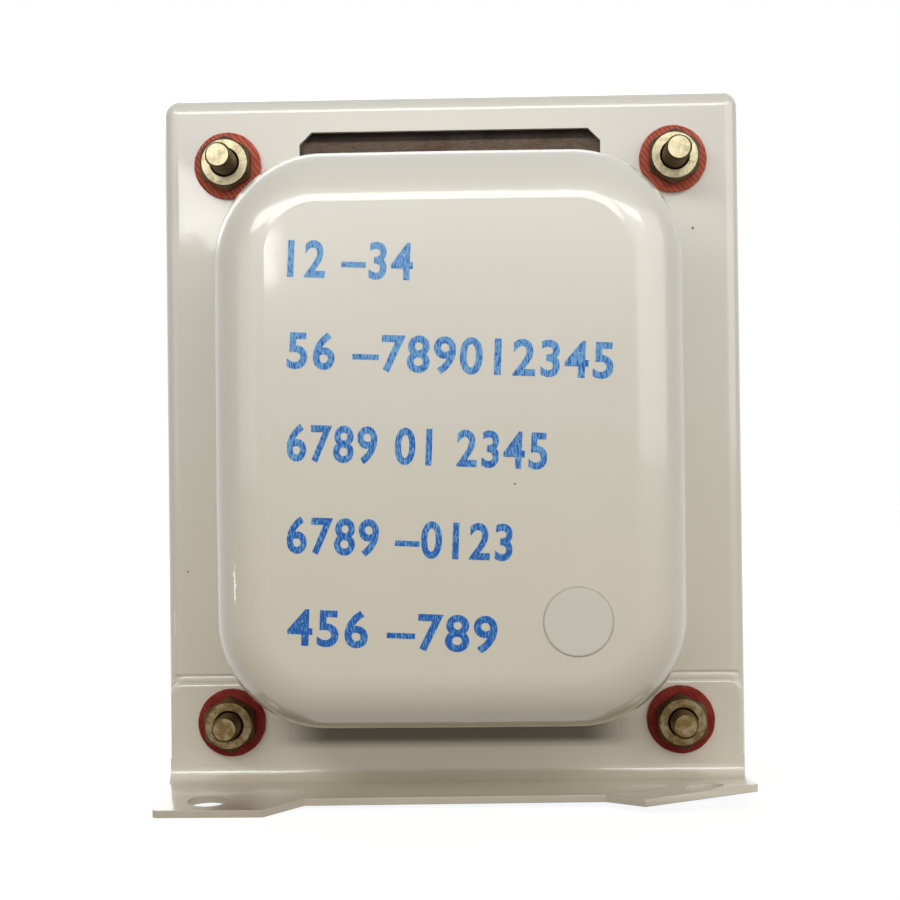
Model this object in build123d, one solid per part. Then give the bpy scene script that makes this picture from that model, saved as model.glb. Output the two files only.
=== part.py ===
"""Open-frame mains transformer in two drawn steel covers, for travel use.

The front faces -Y and +Z is up. The origin is on the surface that the feet stand on, under the
middle of the object. Every builder below works about the middle of the core, and the last step
lifts each piece to its real height.
"""

import math
import os

from build123d import *

# Core stampings: the leg width sets the rest, as on any scrapless E and I pair
leg_width = 12.7
long_side_share = 6
short_side_share = 5
window_share = 3
middle_leg_share = 2
stack_depth = 32.0
packet_count = 16
core_hole_diameter = 4.6

# Cover sheet
sheet = 0.8
rim_clearance = 0.35
top_clearance = 0.65
face_clearance = 0.25
rim_depth = 9.0
rim_bend_radius = 0.9
rim_corner_radius = 0.8

# Domes
dome_side_margin = 6.4
dome_end_margin = 5.85
front_dome_depth = 19.0
dome_washer_gap = 0.45
dome_draft = 1.0
dome_shoulder_radius = 6.5
dome_crown_radius = 350.0
dome_root_radius = 1.0

# Slot above each dome
slot_width = 34.4
slot_height = 2.95
slot_land = 0.3
slot_chamfer = 1.4

# Panel pressed forward at the foot of each cover
panel_rise = 1.0
panel_land = 0.15
panel_inset = 0.4
panel_corner_radius = 1.5
panel_edge_radius = 0.55
panel_root_radius = 0.8

# Feet
foot_drop = 2.3
foot_reach = 12.0
foot_bend_radius = 1.6
foot_corner_radius = 0.6
foot_hole_diameter = 4.4
foot_hole_reach = 8.3
foot_hole_spacing = 54.0
relief_reach = 7.6
relief_back_width = 33.0
relief_front_width = 41.0

# Clamp bolts, nuts and their insulation
bolt_diameter = 2.9
bolt_tip_diameter = 2.4
bolt_tip_length = 0.45
stud_protrusion = 5.2
bolt_head_diameter = 5.6
bolt_head_height = 2.2
bolt_head_round = 0.9
recess_width = 0.75
recess_length = 3.2
recess_depth = 1.1
nut_across_flats = 5.5
nut_height = 2.4
nut_ring_diameter = 5.3
nut_chamfer_height = 0.35
nut_countersink = 0.3
nut_turns = (30.0, 28.0, 33.0, 34.0)
thread_clearance = 0.02
bolt_clearance = 0.15
fibre_washer_diameter = 7.7
fibre_washer_thickness = 0.8
sleeve_clearance = 0.1

# Bobbin and coil
bobbin_clearance = 0.3
bobbin_wall = 1.0
bobbin_corner_radius = 1.2
flange_lip = 0.3
flange_corner_radius = 2.0
wrap_clearance = 0.05
turn_margin = 0.2
coil_leg_gap = 1.0
secondary_build_share = 0.88
tape_thickness = 0.4

# Outlet in the rear dome
outlet_from_top = 22.25
outlet_flange_width = 30.0
outlet_flange_height = 22.0
outlet_flange_thickness = 1.6
outlet_flange_radius = 3.0
outlet_flange_edge = 0.5
outlet_body_width = 24.0
outlet_body_height = 16.0
outlet_body_depth = 11.85
outlet_body_radius = 1.5
outlet_clearance = 0.15
barb_reach = 0.9
barb_length = 3.0
barb_height = 8.0
barb_clearance = 0.1
blade_spacing = 12.7
blade_slot_width = 1.8
blade_slot_height = 7.0
pocket_width = 4.0
pocket_height = 8.5
pocket_depth = 9.0
cap_margin = 1.0
cap_thickness = 1.2
cap_slot_clearance = 0.25
contact_strip = 0.4
contact_gap = 1.3
contact_height = 6.5
contact_depth = 8.0
contact_seat = 0.05
tab_thickness = 0.5
tab_height = 4.0
tab_length = 3.0
coil_to_tab_gap = 3.2

# Cord inlet in the rear dome, for a flat two-core cord
grommet_from_bottom = 14.25
grommet_bore_width = 5.6
grommet_bore_height = 3.4
grommet_neck_wall = 1.8
grommet_flange_wall = 3.2
grommet_outer_thickness = 1.7
grommet_inner_thickness = 2.0
grommet_edge = 0.6
grommet_clearance = 0.05

# Leads, thermal fuse and splices
lead_diameter = 1.5
fuse_diameter = 4.4
fuse_length = 10.0
fuse_pin_diameter = 1.1
fuse_pin_length = 2.6
fuse_seat = 0.1
fuse_edge = 0.8
splice_diameter = 5.0
splice_length = 10.0
splice_edge = 1.2
splice_bore_diameter = 3.4
splice_bore_depth = 6.0
splice_end_margin = 4.55
splice_stand_off = 8.8
live_above_fuse = 6.0
live_end_margin = 2.05
secondary_top_margin = 6.4
secondary_end_margin = 1.55
bend_share = 0.45
fuse_rise_share = 0.385
neutral_rise_share = 0.285
splice_rise_share = 0.135

# Sticker on the front dome
sticker_diameter = 7.4
sticker_thickness = 0.12
sticker_offset = 13.4
sticker_drop = 19.3

# How far a cutting shape runs past what it cuts, and how near counts as on a face
overrun = 1.0
pick_tolerance = 0.01

# Sizes that follow
lamination_height = long_side_share * leg_width
lamination_width = short_side_share * leg_width
window_length = window_share * leg_width
middle_leg = middle_leg_share * leg_width
window_span = middle_leg + 2 * leg_width
hole_spacing_x = lamination_width - leg_width
hole_spacing_z = lamination_height - leg_width
packet_depth = stack_depth / packet_count
half_stack = stack_depth / 2

plate_out = face_clearance + sheet
panel_out = plate_out + panel_rise
rim_out = rim_clearance + sheet
cover_width = lamination_width + 2 * rim_out
panel_width = cover_width - 2 * panel_inset
cover_top = lamination_height / 2 + top_clearance + sheet
feet_bottom = -(lamination_height / 2 + foot_drop)
plate_bottom = feet_bottom + sheet + foot_bend_radius
panel_washer_margin = panel_land + panel_edge_radius
panel_top = (fibre_washer_diameter - hole_spacing_z) / 2 + panel_washer_margin
dome_width = window_length + 2 * dome_side_margin
dome_height = window_span + 2 * dome_end_margin

# The dome's corners are as round as the washers beside them need
washer_reach = fibre_washer_diameter / 2 + dome_root_radius + dome_washer_gap
corner_run = (hole_spacing_x - dome_width) / 2
corner_rise = (hole_spacing_z - dome_height) / 2
corner_sum = corner_run + corner_rise - washer_reach
corner_square = corner_run ** 2 + corner_rise ** 2 - washer_reach ** 2
dome_corner_radius = math.sqrt(corner_sum ** 2 - corner_square) - corner_sum

tube_half_depth = half_stack + bobbin_clearance + bobbin_wall
tube_half_height = middle_leg / 2 + bobbin_clearance + bobbin_wall
flange_half_height = window_span / 2 - bobbin_clearance
flange_out = window_length / 2 - bobbin_clearance
flange_in = flange_out - bobbin_wall
coil_length = 2 * (flange_in - turn_margin)
coil_build = leg_width - bobbin_clearance - bobbin_wall - coil_leg_gap
primary_build = (coil_build - 2 * tape_thickness - 4 * wrap_clearance) / (1 + secondary_build_share)
secondary_build = secondary_build_share * primary_build
tape_face = tube_half_depth + coil_build
coil_half_depth = tape_face + flange_lip

# The rear dome is as deep as the coil, the tabs, the outlet's cap and its body need
tab_end = tape_face + coil_to_tab_gap
cap_back = tab_end + tab_length
cap_front = cap_back + cap_thickness
rear_face = cap_front + outlet_body_depth
rear_dome_depth = rear_face - half_stack - plate_out

bolt_hole_diameter = bolt_diameter + 2 * bolt_clearance
inner_washer_diameter = fibre_washer_diameter - 2 * (sheet + rim_bend_radius - panel_washer_margin)
fuse_middle = tape_face + fuse_seat + fuse_diameter / 2
fuse_end = fuse_length / 2 + fuse_pin_length
splice_middle = tape_face + splice_stand_off
core_middle = -feet_bottom

# The outlet and the inlet keep their places on the rear dome. The fuse and the splices lie at
# shares of the height between them, and the leads leave at the coil's ends
outlet_rise = dome_height / 2 - outlet_from_top
grommet_drop = dome_height / 2 - grommet_from_bottom
inlet_to_outlet = outlet_rise + grommet_drop
fuse_drop = grommet_drop - fuse_rise_share * inlet_to_outlet
live_exit_drop = fuse_drop - live_above_fuse
neutral_exit_drop = grommet_drop - neutral_rise_share * inlet_to_outlet
splice_drop = grommet_drop - splice_rise_share * inlet_to_outlet
secondary_exit_rise = tube_half_height + coil_build - secondary_top_margin
live_exit_spacing = coil_length - 2 * live_end_margin
secondary_exit_spacing = coil_length - 2 * secondary_end_margin
splice_spacing = coil_length - 2 * splice_end_margin


def bolt_places():
    """The four bolt axes as (x, z), from the top left to the bottom right as seen from the front."""
    half_x = hole_spacing_x / 2
    half_z = hole_spacing_z / 2
    return [(-half_x, half_z), (half_x, half_z), (-half_x, -half_z), (half_x, -half_z)]


def face_at(y):
    """A plane that faces the front, at the given place along Y."""
    return Plane(origin=(0, y, 0), x_dir=(1, 0, 0), z_dir=(0, -1, 0))


def rod(x, z, near, far, diameter):
    """A round rod along Y, from near to far."""
    return face_at(far) * Pos(x, z) * extrude(Circle(diameter / 2), far - near)


def block(size_x, size_z, near, far, x=0, z=0):
    """A square-cornered block, by its width, its height and its two places along Y."""
    return face_at(far) * Pos(x, z) * extrude(Rectangle(size_x, size_z), far - near)


def rounded_block(size_x, size_z, radius, near, far, x=0, z=0):
    """The same, with rounded upright edges along Y."""
    return face_at(far) * Pos(x, z) * extrude(RectangleRounded(size_x, size_z, radius), far - near)


# Core


def stamping_holes():
    return [rod(x, z, -overrun, packet_depth + overrun, core_hole_diameter) for x, z in bolt_places()]


def e_stamping():
    """One packet of E laminations: its back is on the left, and its legs point right."""
    back_and_legs_width = lamination_width - leg_width
    outline = block(back_and_legs_width, lamination_height, 0, packet_depth, x=-leg_width / 2)
    for side in (-1, 1):
        window_middle = side * (middle_leg / 2 + leg_width / 2)
        outline -= block(window_length + overrun, leg_width, -overrun, packet_depth + overrun,
                         x=overrun / 2, z=window_middle)
    return outline - stamping_holes()


def i_stamping():
    """One packet of I laminations, on the right."""
    bar = block(leg_width, lamination_height, 0, packet_depth, x=(lamination_width - leg_width) / 2)
    return bar - stamping_holes()


def packets(shape, turned):
    """Every second packet of the stack. The turned ones face the other way."""
    placed = []
    for number in range(turned, packet_count, 2):
        near = number * packet_depth - half_stack
        if turned:
            placed.append(Pos(0, near + packet_depth, 0) * Rot(0, 0, 180) * shape)
        else:
            placed.append(Pos(0, near, 0) * shape)
    return Compound(placed)


# Covers: built as the front one, with the core's face at y = 0


def tray(width, top, out, back, corner_radius, edge_radius):
    """A block with rounded top corners and a rolled front edge, plain at the bottom."""
    middle = (top + plate_bottom) / 2
    shape = block(width, top - plate_bottom, -out, back, z=middle)
    shape = fillet(shape.edges().filter_by(Axis.Y).group_by(Axis.Z)[-1], corner_radius)
    front_edges = shape.faces().sort_by(Axis.Y)[0].edges().sort_by(Axis.Z)[1:]
    return fillet(front_edges, edge_radius)


def dome(width, height, depth, corner_radius, shoulder_radius, crown_radius):
    """A drawn dome that stands on the plate's face, with leaning walls and a round shoulder."""
    base = face_at(-plate_out) * RectangleRounded(width, height, corner_radius)
    shape = extrude(base, depth, taper=dome_draft)
    if crown_radius:
        ball_middle = crown_radius - plate_out - depth
        shape = shape & Pos(0, ball_middle, 0) * Sphere(crown_radius)
    shoulder = shape.faces().sort_by(Axis.Y)[0].edges()
    return fillet(shoulder, shoulder_radius)


def foot_profile(upper, lower):
    """The bent strip under the cover: down from the plate, round the bend, and out to the edge."""
    inner = foot_bend_radius
    outer = foot_bend_radius + sheet
    centre = (-panel_out - inner, plate_bottom)
    start = (-panel_out, upper)
    bend_top = (-panel_out, plate_bottom)
    bend_low = (centre[0], plate_bottom - inner)
    tip_top = (-panel_out - foot_reach, plate_bottom - inner)
    tip_low = (-panel_out - foot_reach, lower)
    back_low = (centre[0], plate_bottom - outer)
    back_top = (-panel_out + sheet, plate_bottom)
    back_start = (-panel_out + sheet, upper)
    inner_mid = (centre[0] + inner * math.cos(math.pi / 4), centre[1] - inner * math.sin(math.pi / 4))
    outer_mid = (centre[0] + outer * math.cos(math.pi / 4), centre[1] - outer * math.sin(math.pi / 4))
    edges = [
        Line(start, bend_top),
        ThreePointArc(bend_top, inner_mid, bend_low),
        Line(bend_low, tip_top),
        Line(tip_top, tip_low),
        Line(tip_low, back_low),
        ThreePointArc(back_low, outer_mid, back_top),
        Line(back_top, back_start),
        Line(back_start, start),
    ]
    return make_face(edges)


def feet():
    """Two feet bent forward from the panel, with a relief between them and a hole in each."""
    profile = foot_profile(plate_bottom + overrun, feet_bottom)
    side_on = Plane(origin=(-panel_width / 2, 0, 0), x_dir=(0, 1, 0), z_dir=(1, 0, 0))
    strip = side_on * extrude(profile, panel_width)
    corners = strip.edges().filter_by(Axis.Z).group_by(Axis.Y)[0]
    strip = fillet(corners, foot_corner_radius)
    relief_back = -panel_out - relief_reach
    relief_front = -panel_out - foot_reach
    outline = Polyline(
        (-relief_back_width / 2, relief_back),
        (relief_back_width / 2, relief_back),
        (relief_front_width / 2, relief_front),
        (relief_front_width / 2, relief_front - overrun),
        (-relief_front_width / 2, relief_front - overrun),
        (-relief_front_width / 2, relief_front),
        close=True,
    )
    floor = Plane(origin=(0, 0, feet_bottom - overrun))
    strip -= floor * extrude(make_face(outline), sheet + 2 * overrun)
    for side in (-1, 1):
        hole = extrude(Circle(foot_hole_diameter / 2), sheet + 2 * overrun)
        strip -= floor * Pos(side * foot_hole_spacing / 2, -panel_out - foot_hole_reach) * hole
    return strip


def slot_cut():
    """The slot in the plate above the dome, with its two top corners cut off."""
    middle = dome_height / 2 + dome_root_radius + slot_land + slot_height / 2
    outline = Rectangle(slot_width, slot_height)
    outline = chamfer(outline.vertices().group_by(Axis.Y)[-1], slot_chamfer)
    return face_at(overrun) * Pos(0, middle) * extrude(outline, plate_out + 2 * overrun)


def root_edges(body, out):
    """The edges where the dome rises from a face that stands out from the core."""
    reach_x = dome_width / 2 + pick_tolerance
    reach_z = dome_height / 2 + pick_tolerance
    on_face = body.edges().filter_by_position(Axis.Y, -out - pick_tolerance, -out + pick_tolerance)
    return on_face.filter_by_position(Axis.X, -reach_x, reach_x).filter_by_position(
        Axis.Z, -reach_z, reach_z)


def tray_void(width, top, out, back, corner_radius):
    """The hollow of a tray, one sheet inside its outside and open at the bottom."""
    bottom = plate_bottom - overrun
    inner_top = top - sheet
    middle = (inner_top + bottom) / 2
    shape = block(width - 2 * sheet, inner_top - bottom, -out, back, z=middle)
    shape = fillet(shape.edges().filter_by(Axis.Y).group_by(Axis.Z)[-1], corner_radius)
    front_edges = shape.faces().sort_by(Axis.Y)[0].edges().sort_by(Axis.Z)[1:]
    return fillet(front_edges, rim_bend_radius)


def cover(dome_depth, crown_radius):
    """One drawn cover: plate, rim, dome, panel, feet, slot and bolt holes."""
    body = tray(cover_width, cover_top, plate_out, rim_depth, rim_corner_radius + sheet,
                rim_bend_radius + sheet)
    body += dome(dome_width, dome_height, dome_depth, dome_corner_radius, dome_shoulder_radius,
                 crown_radius)
    body = fillet(root_edges(body, plate_out), dome_root_radius)
    body += tray(panel_width, panel_top, panel_out, -face_clearance, panel_corner_radius,
                 panel_edge_radius)
    body += feet()
    body = fillet(root_edges(body, panel_out), panel_root_radius)

    body -= tray_void(cover_width, cover_top, face_clearance, rim_depth + overrun, rim_corner_radius)
    body -= tray_void(panel_width, panel_top, face_clearance + panel_rise, 0,
                      panel_corner_radius - sheet)
    inner_crown = crown_radius - sheet if crown_radius else 0
    inner_width = dome_width - 2 * sheet
    inner_height = dome_height - 2 * sheet
    inner_corner = dome_corner_radius - sheet
    body -= dome(inner_width, inner_height, dome_depth - sheet, inner_corner,
                 dome_shoulder_radius - sheet, inner_crown)
    body -= rounded_block(inner_width, inner_height, inner_corner, -plate_out, overrun)
    body -= slot_cut()
    for x, z in bolt_places():
        body -= rod(x, z, -panel_out - overrun, overrun, bolt_hole_diameter)
    return body


def front_cover():
    return Pos(0, -half_stack, 0) * cover(front_dome_depth, dome_crown_radius)


def rear_cover():
    shape = Pos(0, half_stack, 0) * Rot(0, 0, 180) * cover(rear_dome_depth, 0)
    cut_near = rear_face - sheet - overrun
    cut_far = rear_face + overrun
    shape -= rounded_block(outlet_body_width + 2 * outlet_clearance,
                           outlet_body_height + 2 * outlet_clearance,
                           outlet_body_radius + outlet_clearance, cut_near, cut_far, z=outlet_rise)
    neck = grommet_outline(grommet_neck_wall + grommet_clearance)
    shape -= face_at(cut_far) * Pos(0, -grommet_drop) * extrude(neck, cut_far - cut_near)
    return shape


# Bolts, nuts and insulation


def stand_out(z):
    """How far the cover's face stands out from the core at a bolt: more on the pressed panel."""
    return plate_out if z > 0 else panel_out


def clamp_bolts():
    """Pan-head bolts put in from the rear. All four are alike, so the lower tips stand out less."""
    grip = stack_depth + 2 * (plate_out + fibre_washer_thickness)
    length = grip + nut_height + stud_protrusion
    placed = []
    for x, z in bolt_places():
        seat = half_stack + stand_out(z) + fibre_washer_thickness
        head = rod(x, z, seat, seat + bolt_head_height, bolt_head_diameter)
        head = fillet(head.faces().sort_by(Axis.Y)[-1].edges(), bolt_head_round)
        cut_near = seat + bolt_head_height - recess_depth
        cut_far = seat + bolt_head_height + overrun
        head -= block(recess_length, recess_width, cut_near, cut_far, x=x, z=z)
        head -= block(recess_width, recess_length, cut_near, cut_far, x=x, z=z)
        shank = rod(x, z, seat - length, seat, bolt_diameter)
        tip = shank.faces().sort_by(Axis.Y)[0].edges()
        shank = chamfer(tip, bolt_tip_length, (bolt_diameter - bolt_tip_diameter) / 2)
        placed.append(head + shank)
    return Compound(placed)


def hex_nut():
    """A nut chamfered on both faces, about its own middle, with its thread's mouths countersunk."""
    hexagon = RegularPolygon(nut_across_flats / 2, 6, major_radius=False)
    corner_radius = nut_across_flats / math.sqrt(3)
    half = nut_height / 2
    solid = Pos(0, 0, -half) * extrude(hexagon, nut_height)
    barrel = Cylinder(corner_radius, nut_height)
    rims = barrel.edges().filter_by(GeomType.CIRCLE)
    barrel = chamfer(rims, nut_chamfer_height, corner_radius - nut_ring_diameter / 2)
    bore = Cylinder(bolt_diameter / 2 + thread_clearance, nut_height + overrun)
    solid = (solid & barrel) - bore
    mouths = solid.edges().filter_by(GeomType.CIRCLE).group_by(SortBy.RADIUS)[0]
    return chamfer(mouths, nut_countersink)


def front_nuts():
    nut = hex_nut()
    placed = []
    for (x, z), turn in zip(bolt_places(), nut_turns):
        middle = -half_stack - stand_out(z) - fibre_washer_thickness - nut_height / 2
        placed.append(face_at(middle) * Pos(x, z) * Rot(0, 0, turn) * nut)
    return Compound(placed)


def washer(x, z, near, thickness, diameter):
    ring = rod(x, z, near, near + thickness, diameter)
    return ring - rod(x, z, near - overrun, near + thickness + overrun, bolt_hole_diameter)


def front_fibre_washers():
    placed = []
    for x, z in bolt_places():
        near = -half_stack - stand_out(z) - fibre_washer_thickness
        placed.append(washer(x, z, near, fibre_washer_thickness, fibre_washer_diameter))
    return Compound(placed)


def rear_fibre_washers():
    placed = []
    for x, z in bolt_places():
        near = half_stack + stand_out(z)
        placed.append(washer(x, z, near, fibre_washer_thickness, fibre_washer_diameter))
    return Compound(placed)


def inner_fibre_washers():
    """Washers between core and covers: thin ones at the top, thicker ones behind the panels."""
    placed = []
    for x, z in bolt_places():
        gap = stand_out(z) - sheet
        placed.append(washer(x, z, -half_stack - gap, gap, inner_washer_diameter))
        placed.append(washer(x, z, half_stack, gap, inner_washer_diameter))
    return Compound(placed)


def bolt_sleeves():
    placed = []
    outside = core_hole_diameter - 2 * sleeve_clearance
    for x, z in bolt_places():
        placed.append(washer(x, z, -half_stack, stack_depth, outside))
    return Compound(placed)


# Bobbin and coil


def along_x(outline, low, high):
    """Extrude an outline, drawn with Y across and Z up, along X from low to high."""
    side_on = Plane(origin=(low, 0, 0), x_dir=(0, 1, 0), z_dir=(1, 0, 0))
    return side_on * extrude(outline, high - low)


def bobbin():
    tube = RectangleRounded(2 * tube_half_depth, 2 * tube_half_height, bobbin_corner_radius)
    flange = RectangleRounded(2 * coil_half_depth, 2 * flange_half_height, flange_corner_radius)
    hollow = Rectangle(2 * (tube_half_depth - bobbin_wall), 2 * (tube_half_height - bobbin_wall))
    shape = along_x(tube, -flange_out, flange_out)
    for side in (-1, 1):
        low, high = sorted((side * flange_in, side * flange_out))
        shape += along_x(flange, low, high)
    return shape - along_x(hollow, -flange_out - overrun, flange_out + overrun)


def coil_ring(inside, outside):
    """A layer of the coil, between two distances out from the bobbin's tube."""
    outer = RectangleRounded(2 * (tube_half_depth + outside), 2 * (tube_half_height + outside),
                             bobbin_corner_radius + outside)
    inner = RectangleRounded(2 * (tube_half_depth + inside), 2 * (tube_half_height + inside),
                             bobbin_corner_radius + inside)
    return along_x(outer - inner, -coil_length / 2, coil_length / 2)


def coil_layers():
    """The four layers from the tube outwards, by name."""
    layers = {}
    reach = 0
    order = (
        ("primary_winding", primary_build),
        ("interwinding_tape", tape_thickness),
        ("secondary_winding", secondary_build),
        ("outer_tape", tape_thickness),
    )
    for name, build in order:
        inside = reach + wrap_clearance
        reach = inside + build
        layers[name] = coil_ring(inside, reach)
    return layers


# Outlet and cord inlet


def outlet_body():
    shape = rounded_block(outlet_body_width, outlet_body_height, outlet_body_radius, cap_front,
                          rear_face, z=outlet_rise)
    flange = rounded_block(outlet_flange_width, outlet_flange_height, outlet_flange_radius, rear_face,
                           rear_face + outlet_flange_thickness, z=outlet_rise)
    flange = fillet(flange.faces().sort_by(Axis.Y)[-1].edges(), outlet_flange_edge)
    shape += flange
    slot_end = rear_face + outlet_flange_thickness + overrun
    for side in (-1, 1):
        shape += snap_barb(side)
        x = side * blade_spacing / 2
        shape -= block(pocket_width, pocket_height, cap_front - overrun, cap_front + pocket_depth, x=x,
                       z=outlet_rise)
        shape -= block(blade_slot_width, blade_slot_height, cap_front, slot_end, x=x, z=outlet_rise)
    return shape


def snap_barb(side):
    """A wedge on the body's end that springs out behind the sheet."""
    top = rear_face - sheet - barb_clearance
    wall = side * outlet_body_width / 2
    outline = Polyline(
        (wall, top),
        (wall + side * barb_reach, top),
        (wall, top - barb_length),
        close=True,
    )
    level = Plane(origin=(0, 0, outlet_rise - barb_height / 2))
    return level * extrude(make_face(outline), barb_height)


def outlet_cap():
    width = outlet_body_width - 2 * cap_margin
    height = outlet_body_height - 2 * cap_margin
    shape = rounded_block(width, height, outlet_body_radius, cap_back, cap_front, z=outlet_rise)
    for side in (-1, 1):
        shape -= block(tab_thickness + 2 * cap_slot_clearance, tab_height + 2 * cap_slot_clearance,
                       cap_back - overrun, cap_front + overrun, x=side * blade_spacing / 2,
                       z=outlet_rise)
    return shape


def outlet_contact(side):
    """A strip folded into a U round the blade, with a solder tab out of the back."""
    x = side * blade_spacing / 2
    base_near = cap_front + contact_seat
    base_far = base_near + contact_strip
    width = contact_gap + 2 * contact_strip
    shape = block(width, contact_height, base_near, base_near + contact_depth, x=x, z=outlet_rise)
    shape -= block(contact_gap, contact_height + overrun, base_far, base_near + contact_depth + overrun,
                   x=x, z=outlet_rise)
    shape += block(tab_thickness, tab_height, tab_end, base_far, x=x, z=outlet_rise)
    return shape


def grommet_outline(wall):
    """The oval of the cord's bore, grown by a wall."""
    height = grommet_bore_height + 2 * wall
    return SlotCenterToCenter(grommet_bore_width - grommet_bore_height, height)


def cord_grommet():
    outside = grommet_outline(grommet_flange_wall)
    inside_face = rear_face - sheet - grommet_clearance
    outside_face = rear_face + grommet_clearance
    outer = face_at(outside_face + grommet_outer_thickness) * extrude(outside, grommet_outer_thickness)
    outer = fillet(outer.faces().sort_by(Axis.Y)[-1].edges(), grommet_edge)
    inner = face_at(inside_face) * extrude(outside, grommet_inner_thickness)
    inner = fillet(inner.faces().sort_by(Axis.Y)[0].edges(), grommet_edge)
    neck = face_at(outside_face) * extrude(grommet_outline(grommet_neck_wall), outside_face - inside_face)
    bore_length = grommet_outer_thickness + grommet_inner_thickness + sheet + 2 * grommet_clearance
    bore = face_at(outside_face + grommet_outer_thickness + overrun)
    bore = bore * extrude(grommet_outline(0), bore_length + 2 * overrun)
    return Pos(0, 0, -grommet_drop) * (outer + inner + neck - bore)


# Leads, fuse and splices


def lead(points):
    """An insulated lead along straight runs joined by arcs as large as the runs allow."""
    route = [Vector(*point) for point in points]
    radii = []
    for before, corner, after in zip(route, route[1:], route[2:]):
        turn = math.radians((corner - before).get_angle(after - corner))
        shorter = min((corner - before).length, (after - corner).length)
        radii.append(bend_share * shorter / math.tan(turn / 2))
    path = FilletPolyline(*route, radius=radii)
    section = Plane(origin=path @ 0, z_dir=path % 0) * Circle(lead_diameter / 2)
    return sweep(section, path=path)


def thermal_fuse():
    side_on = Plane(origin=(-fuse_length / 2, fuse_middle, -fuse_drop), x_dir=(0, 1, 0), z_dir=(1, 0, 0))
    body = side_on * extrude(Circle(fuse_diameter / 2), fuse_length)
    body = fillet(body.edges().filter_by(GeomType.CIRCLE), fuse_edge)
    pin_on = Plane(origin=(-fuse_end, fuse_middle, -fuse_drop), x_dir=(0, 1, 0), z_dir=(1, 0, 0))
    return body + pin_on * extrude(Circle(fuse_pin_diameter / 2), 2 * fuse_end)


def coil_to_fuse_lead():
    x = -live_exit_spacing / 2
    return lead([
        (x, tape_face, -live_exit_drop),
        (x, fuse_middle, -live_exit_drop),
        (x, fuse_middle, -fuse_drop),
        (-fuse_end, fuse_middle, -fuse_drop),
    ])


def fuse_to_splice_lead():
    x = splice_spacing / 2
    return lead([
        (fuse_end, fuse_middle, -fuse_drop),
        (x, fuse_middle, -fuse_drop),
        (x, splice_middle, -fuse_drop),
        (x, splice_middle, -splice_drop),
    ])


def coil_to_splice_lead():
    x = -splice_spacing / 2
    return lead([
        (x, tape_face, -neutral_exit_drop),
        (x, splice_middle, -neutral_exit_drop),
        (x, splice_middle, -splice_drop),
    ])


def outlet_lead(side):
    """From the secondary round to the outside of an outlet contact's tab."""
    x = side * secondary_exit_spacing / 2
    y = (tab_end + cap_back) / 2
    tab_side = side * (blade_spacing + tab_thickness) / 2
    return lead([
        (x, tape_face, secondary_exit_rise),
        (x, y, secondary_exit_rise),
        (x, y, outlet_rise),
        (tab_side, y, outlet_rise),
    ])


def crimp_splices():
    """Two closed-end crimps, their mouths down, where the cord's conductors come in."""
    placed = []
    for side in (-1, 1):
        barrel = Cylinder(splice_diameter / 2, splice_length)
        barrel = fillet(barrel.faces().sort_by(Axis.Z)[-1].edges(), splice_edge)
        bore_middle = (splice_bore_depth - splice_length - overrun) / 2
        barrel -= Pos(0, 0, bore_middle) * Cylinder(splice_bore_diameter / 2, splice_bore_depth + overrun)
        middle = -splice_drop - splice_length / 2
        placed.append(Pos(side * splice_spacing / 2, splice_middle, middle) * barrel)
    return Compound(placed)


def round_sticker():
    """A thin disc that lies on the crown of the front dome."""
    ball_middle = dome_crown_radius - half_stack - plate_out - front_dome_depth
    skin = Sphere(dome_crown_radius + sticker_thickness) - Sphere(dome_crown_radius)
    punch = rod(sticker_offset, -sticker_drop, -half_stack - front_dome_depth - plate_out - overrun,
                -half_stack, sticker_diameter)
    return Pos(0, ball_middle, 0) * skin & punch


def build():
    """Every piece by its name, about the middle of the core."""
    e_shape = e_stamping()
    i_shape = i_stamping()
    pieces = {
        "front_cover": front_cover(),
        "rear_cover": rear_cover(),
        "e_laminations_open_right": packets(e_shape, 0),
        "e_laminations_open_left": packets(e_shape, 1),
        "i_laminations_right": packets(i_shape, 0),
        "i_laminations_left": packets(i_shape, 1),
        "bobbin": bobbin(),
        "clamp_bolts": clamp_bolts(),
        "front_nuts": front_nuts(),
        "front_fibre_washers": front_fibre_washers(),
        "rear_fibre_washers": rear_fibre_washers(),
        "inner_fibre_washers": inner_fibre_washers(),
        "bolt_sleeves": bolt_sleeves(),
        "outlet_body": outlet_body(),
        "outlet_cap": outlet_cap(),
        "outlet_contact_left": outlet_contact(-1),
        "outlet_contact_right": outlet_contact(1),
        "cord_grommet": cord_grommet(),
        "thermal_fuse": thermal_fuse(),
        "coil_to_fuse_lead": coil_to_fuse_lead(),
        "fuse_to_splice_lead": fuse_to_splice_lead(),
        "coil_to_splice_lead": coil_to_splice_lead(),
        "outlet_lead_left": outlet_lead(-1),
        "outlet_lead_right": outlet_lead(1),
        "crimp_splices": crimp_splices(),
        "round_sticker": round_sticker(),
    }
    pieces.update(coil_layers())
    return pieces


os.makedirs("parts", exist_ok=True)
for name, piece in build().items():
    export_step(Pos(0, 0, core_middle) * piece, f"parts/{name}.step")
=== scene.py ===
"""The looks of an open-frame travel transformer: enamelled covers, core sheets, bolts and print.

Every piece is modelled in millimetres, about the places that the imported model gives, and is brought
to metres when it is finished. The front faces -Y and +Z is up.
"""

import math
import random
from contextlib import contextmanager
from types import SimpleNamespace

import bmesh
import bpy
from mathutils import Matrix, Vector, noise


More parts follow.
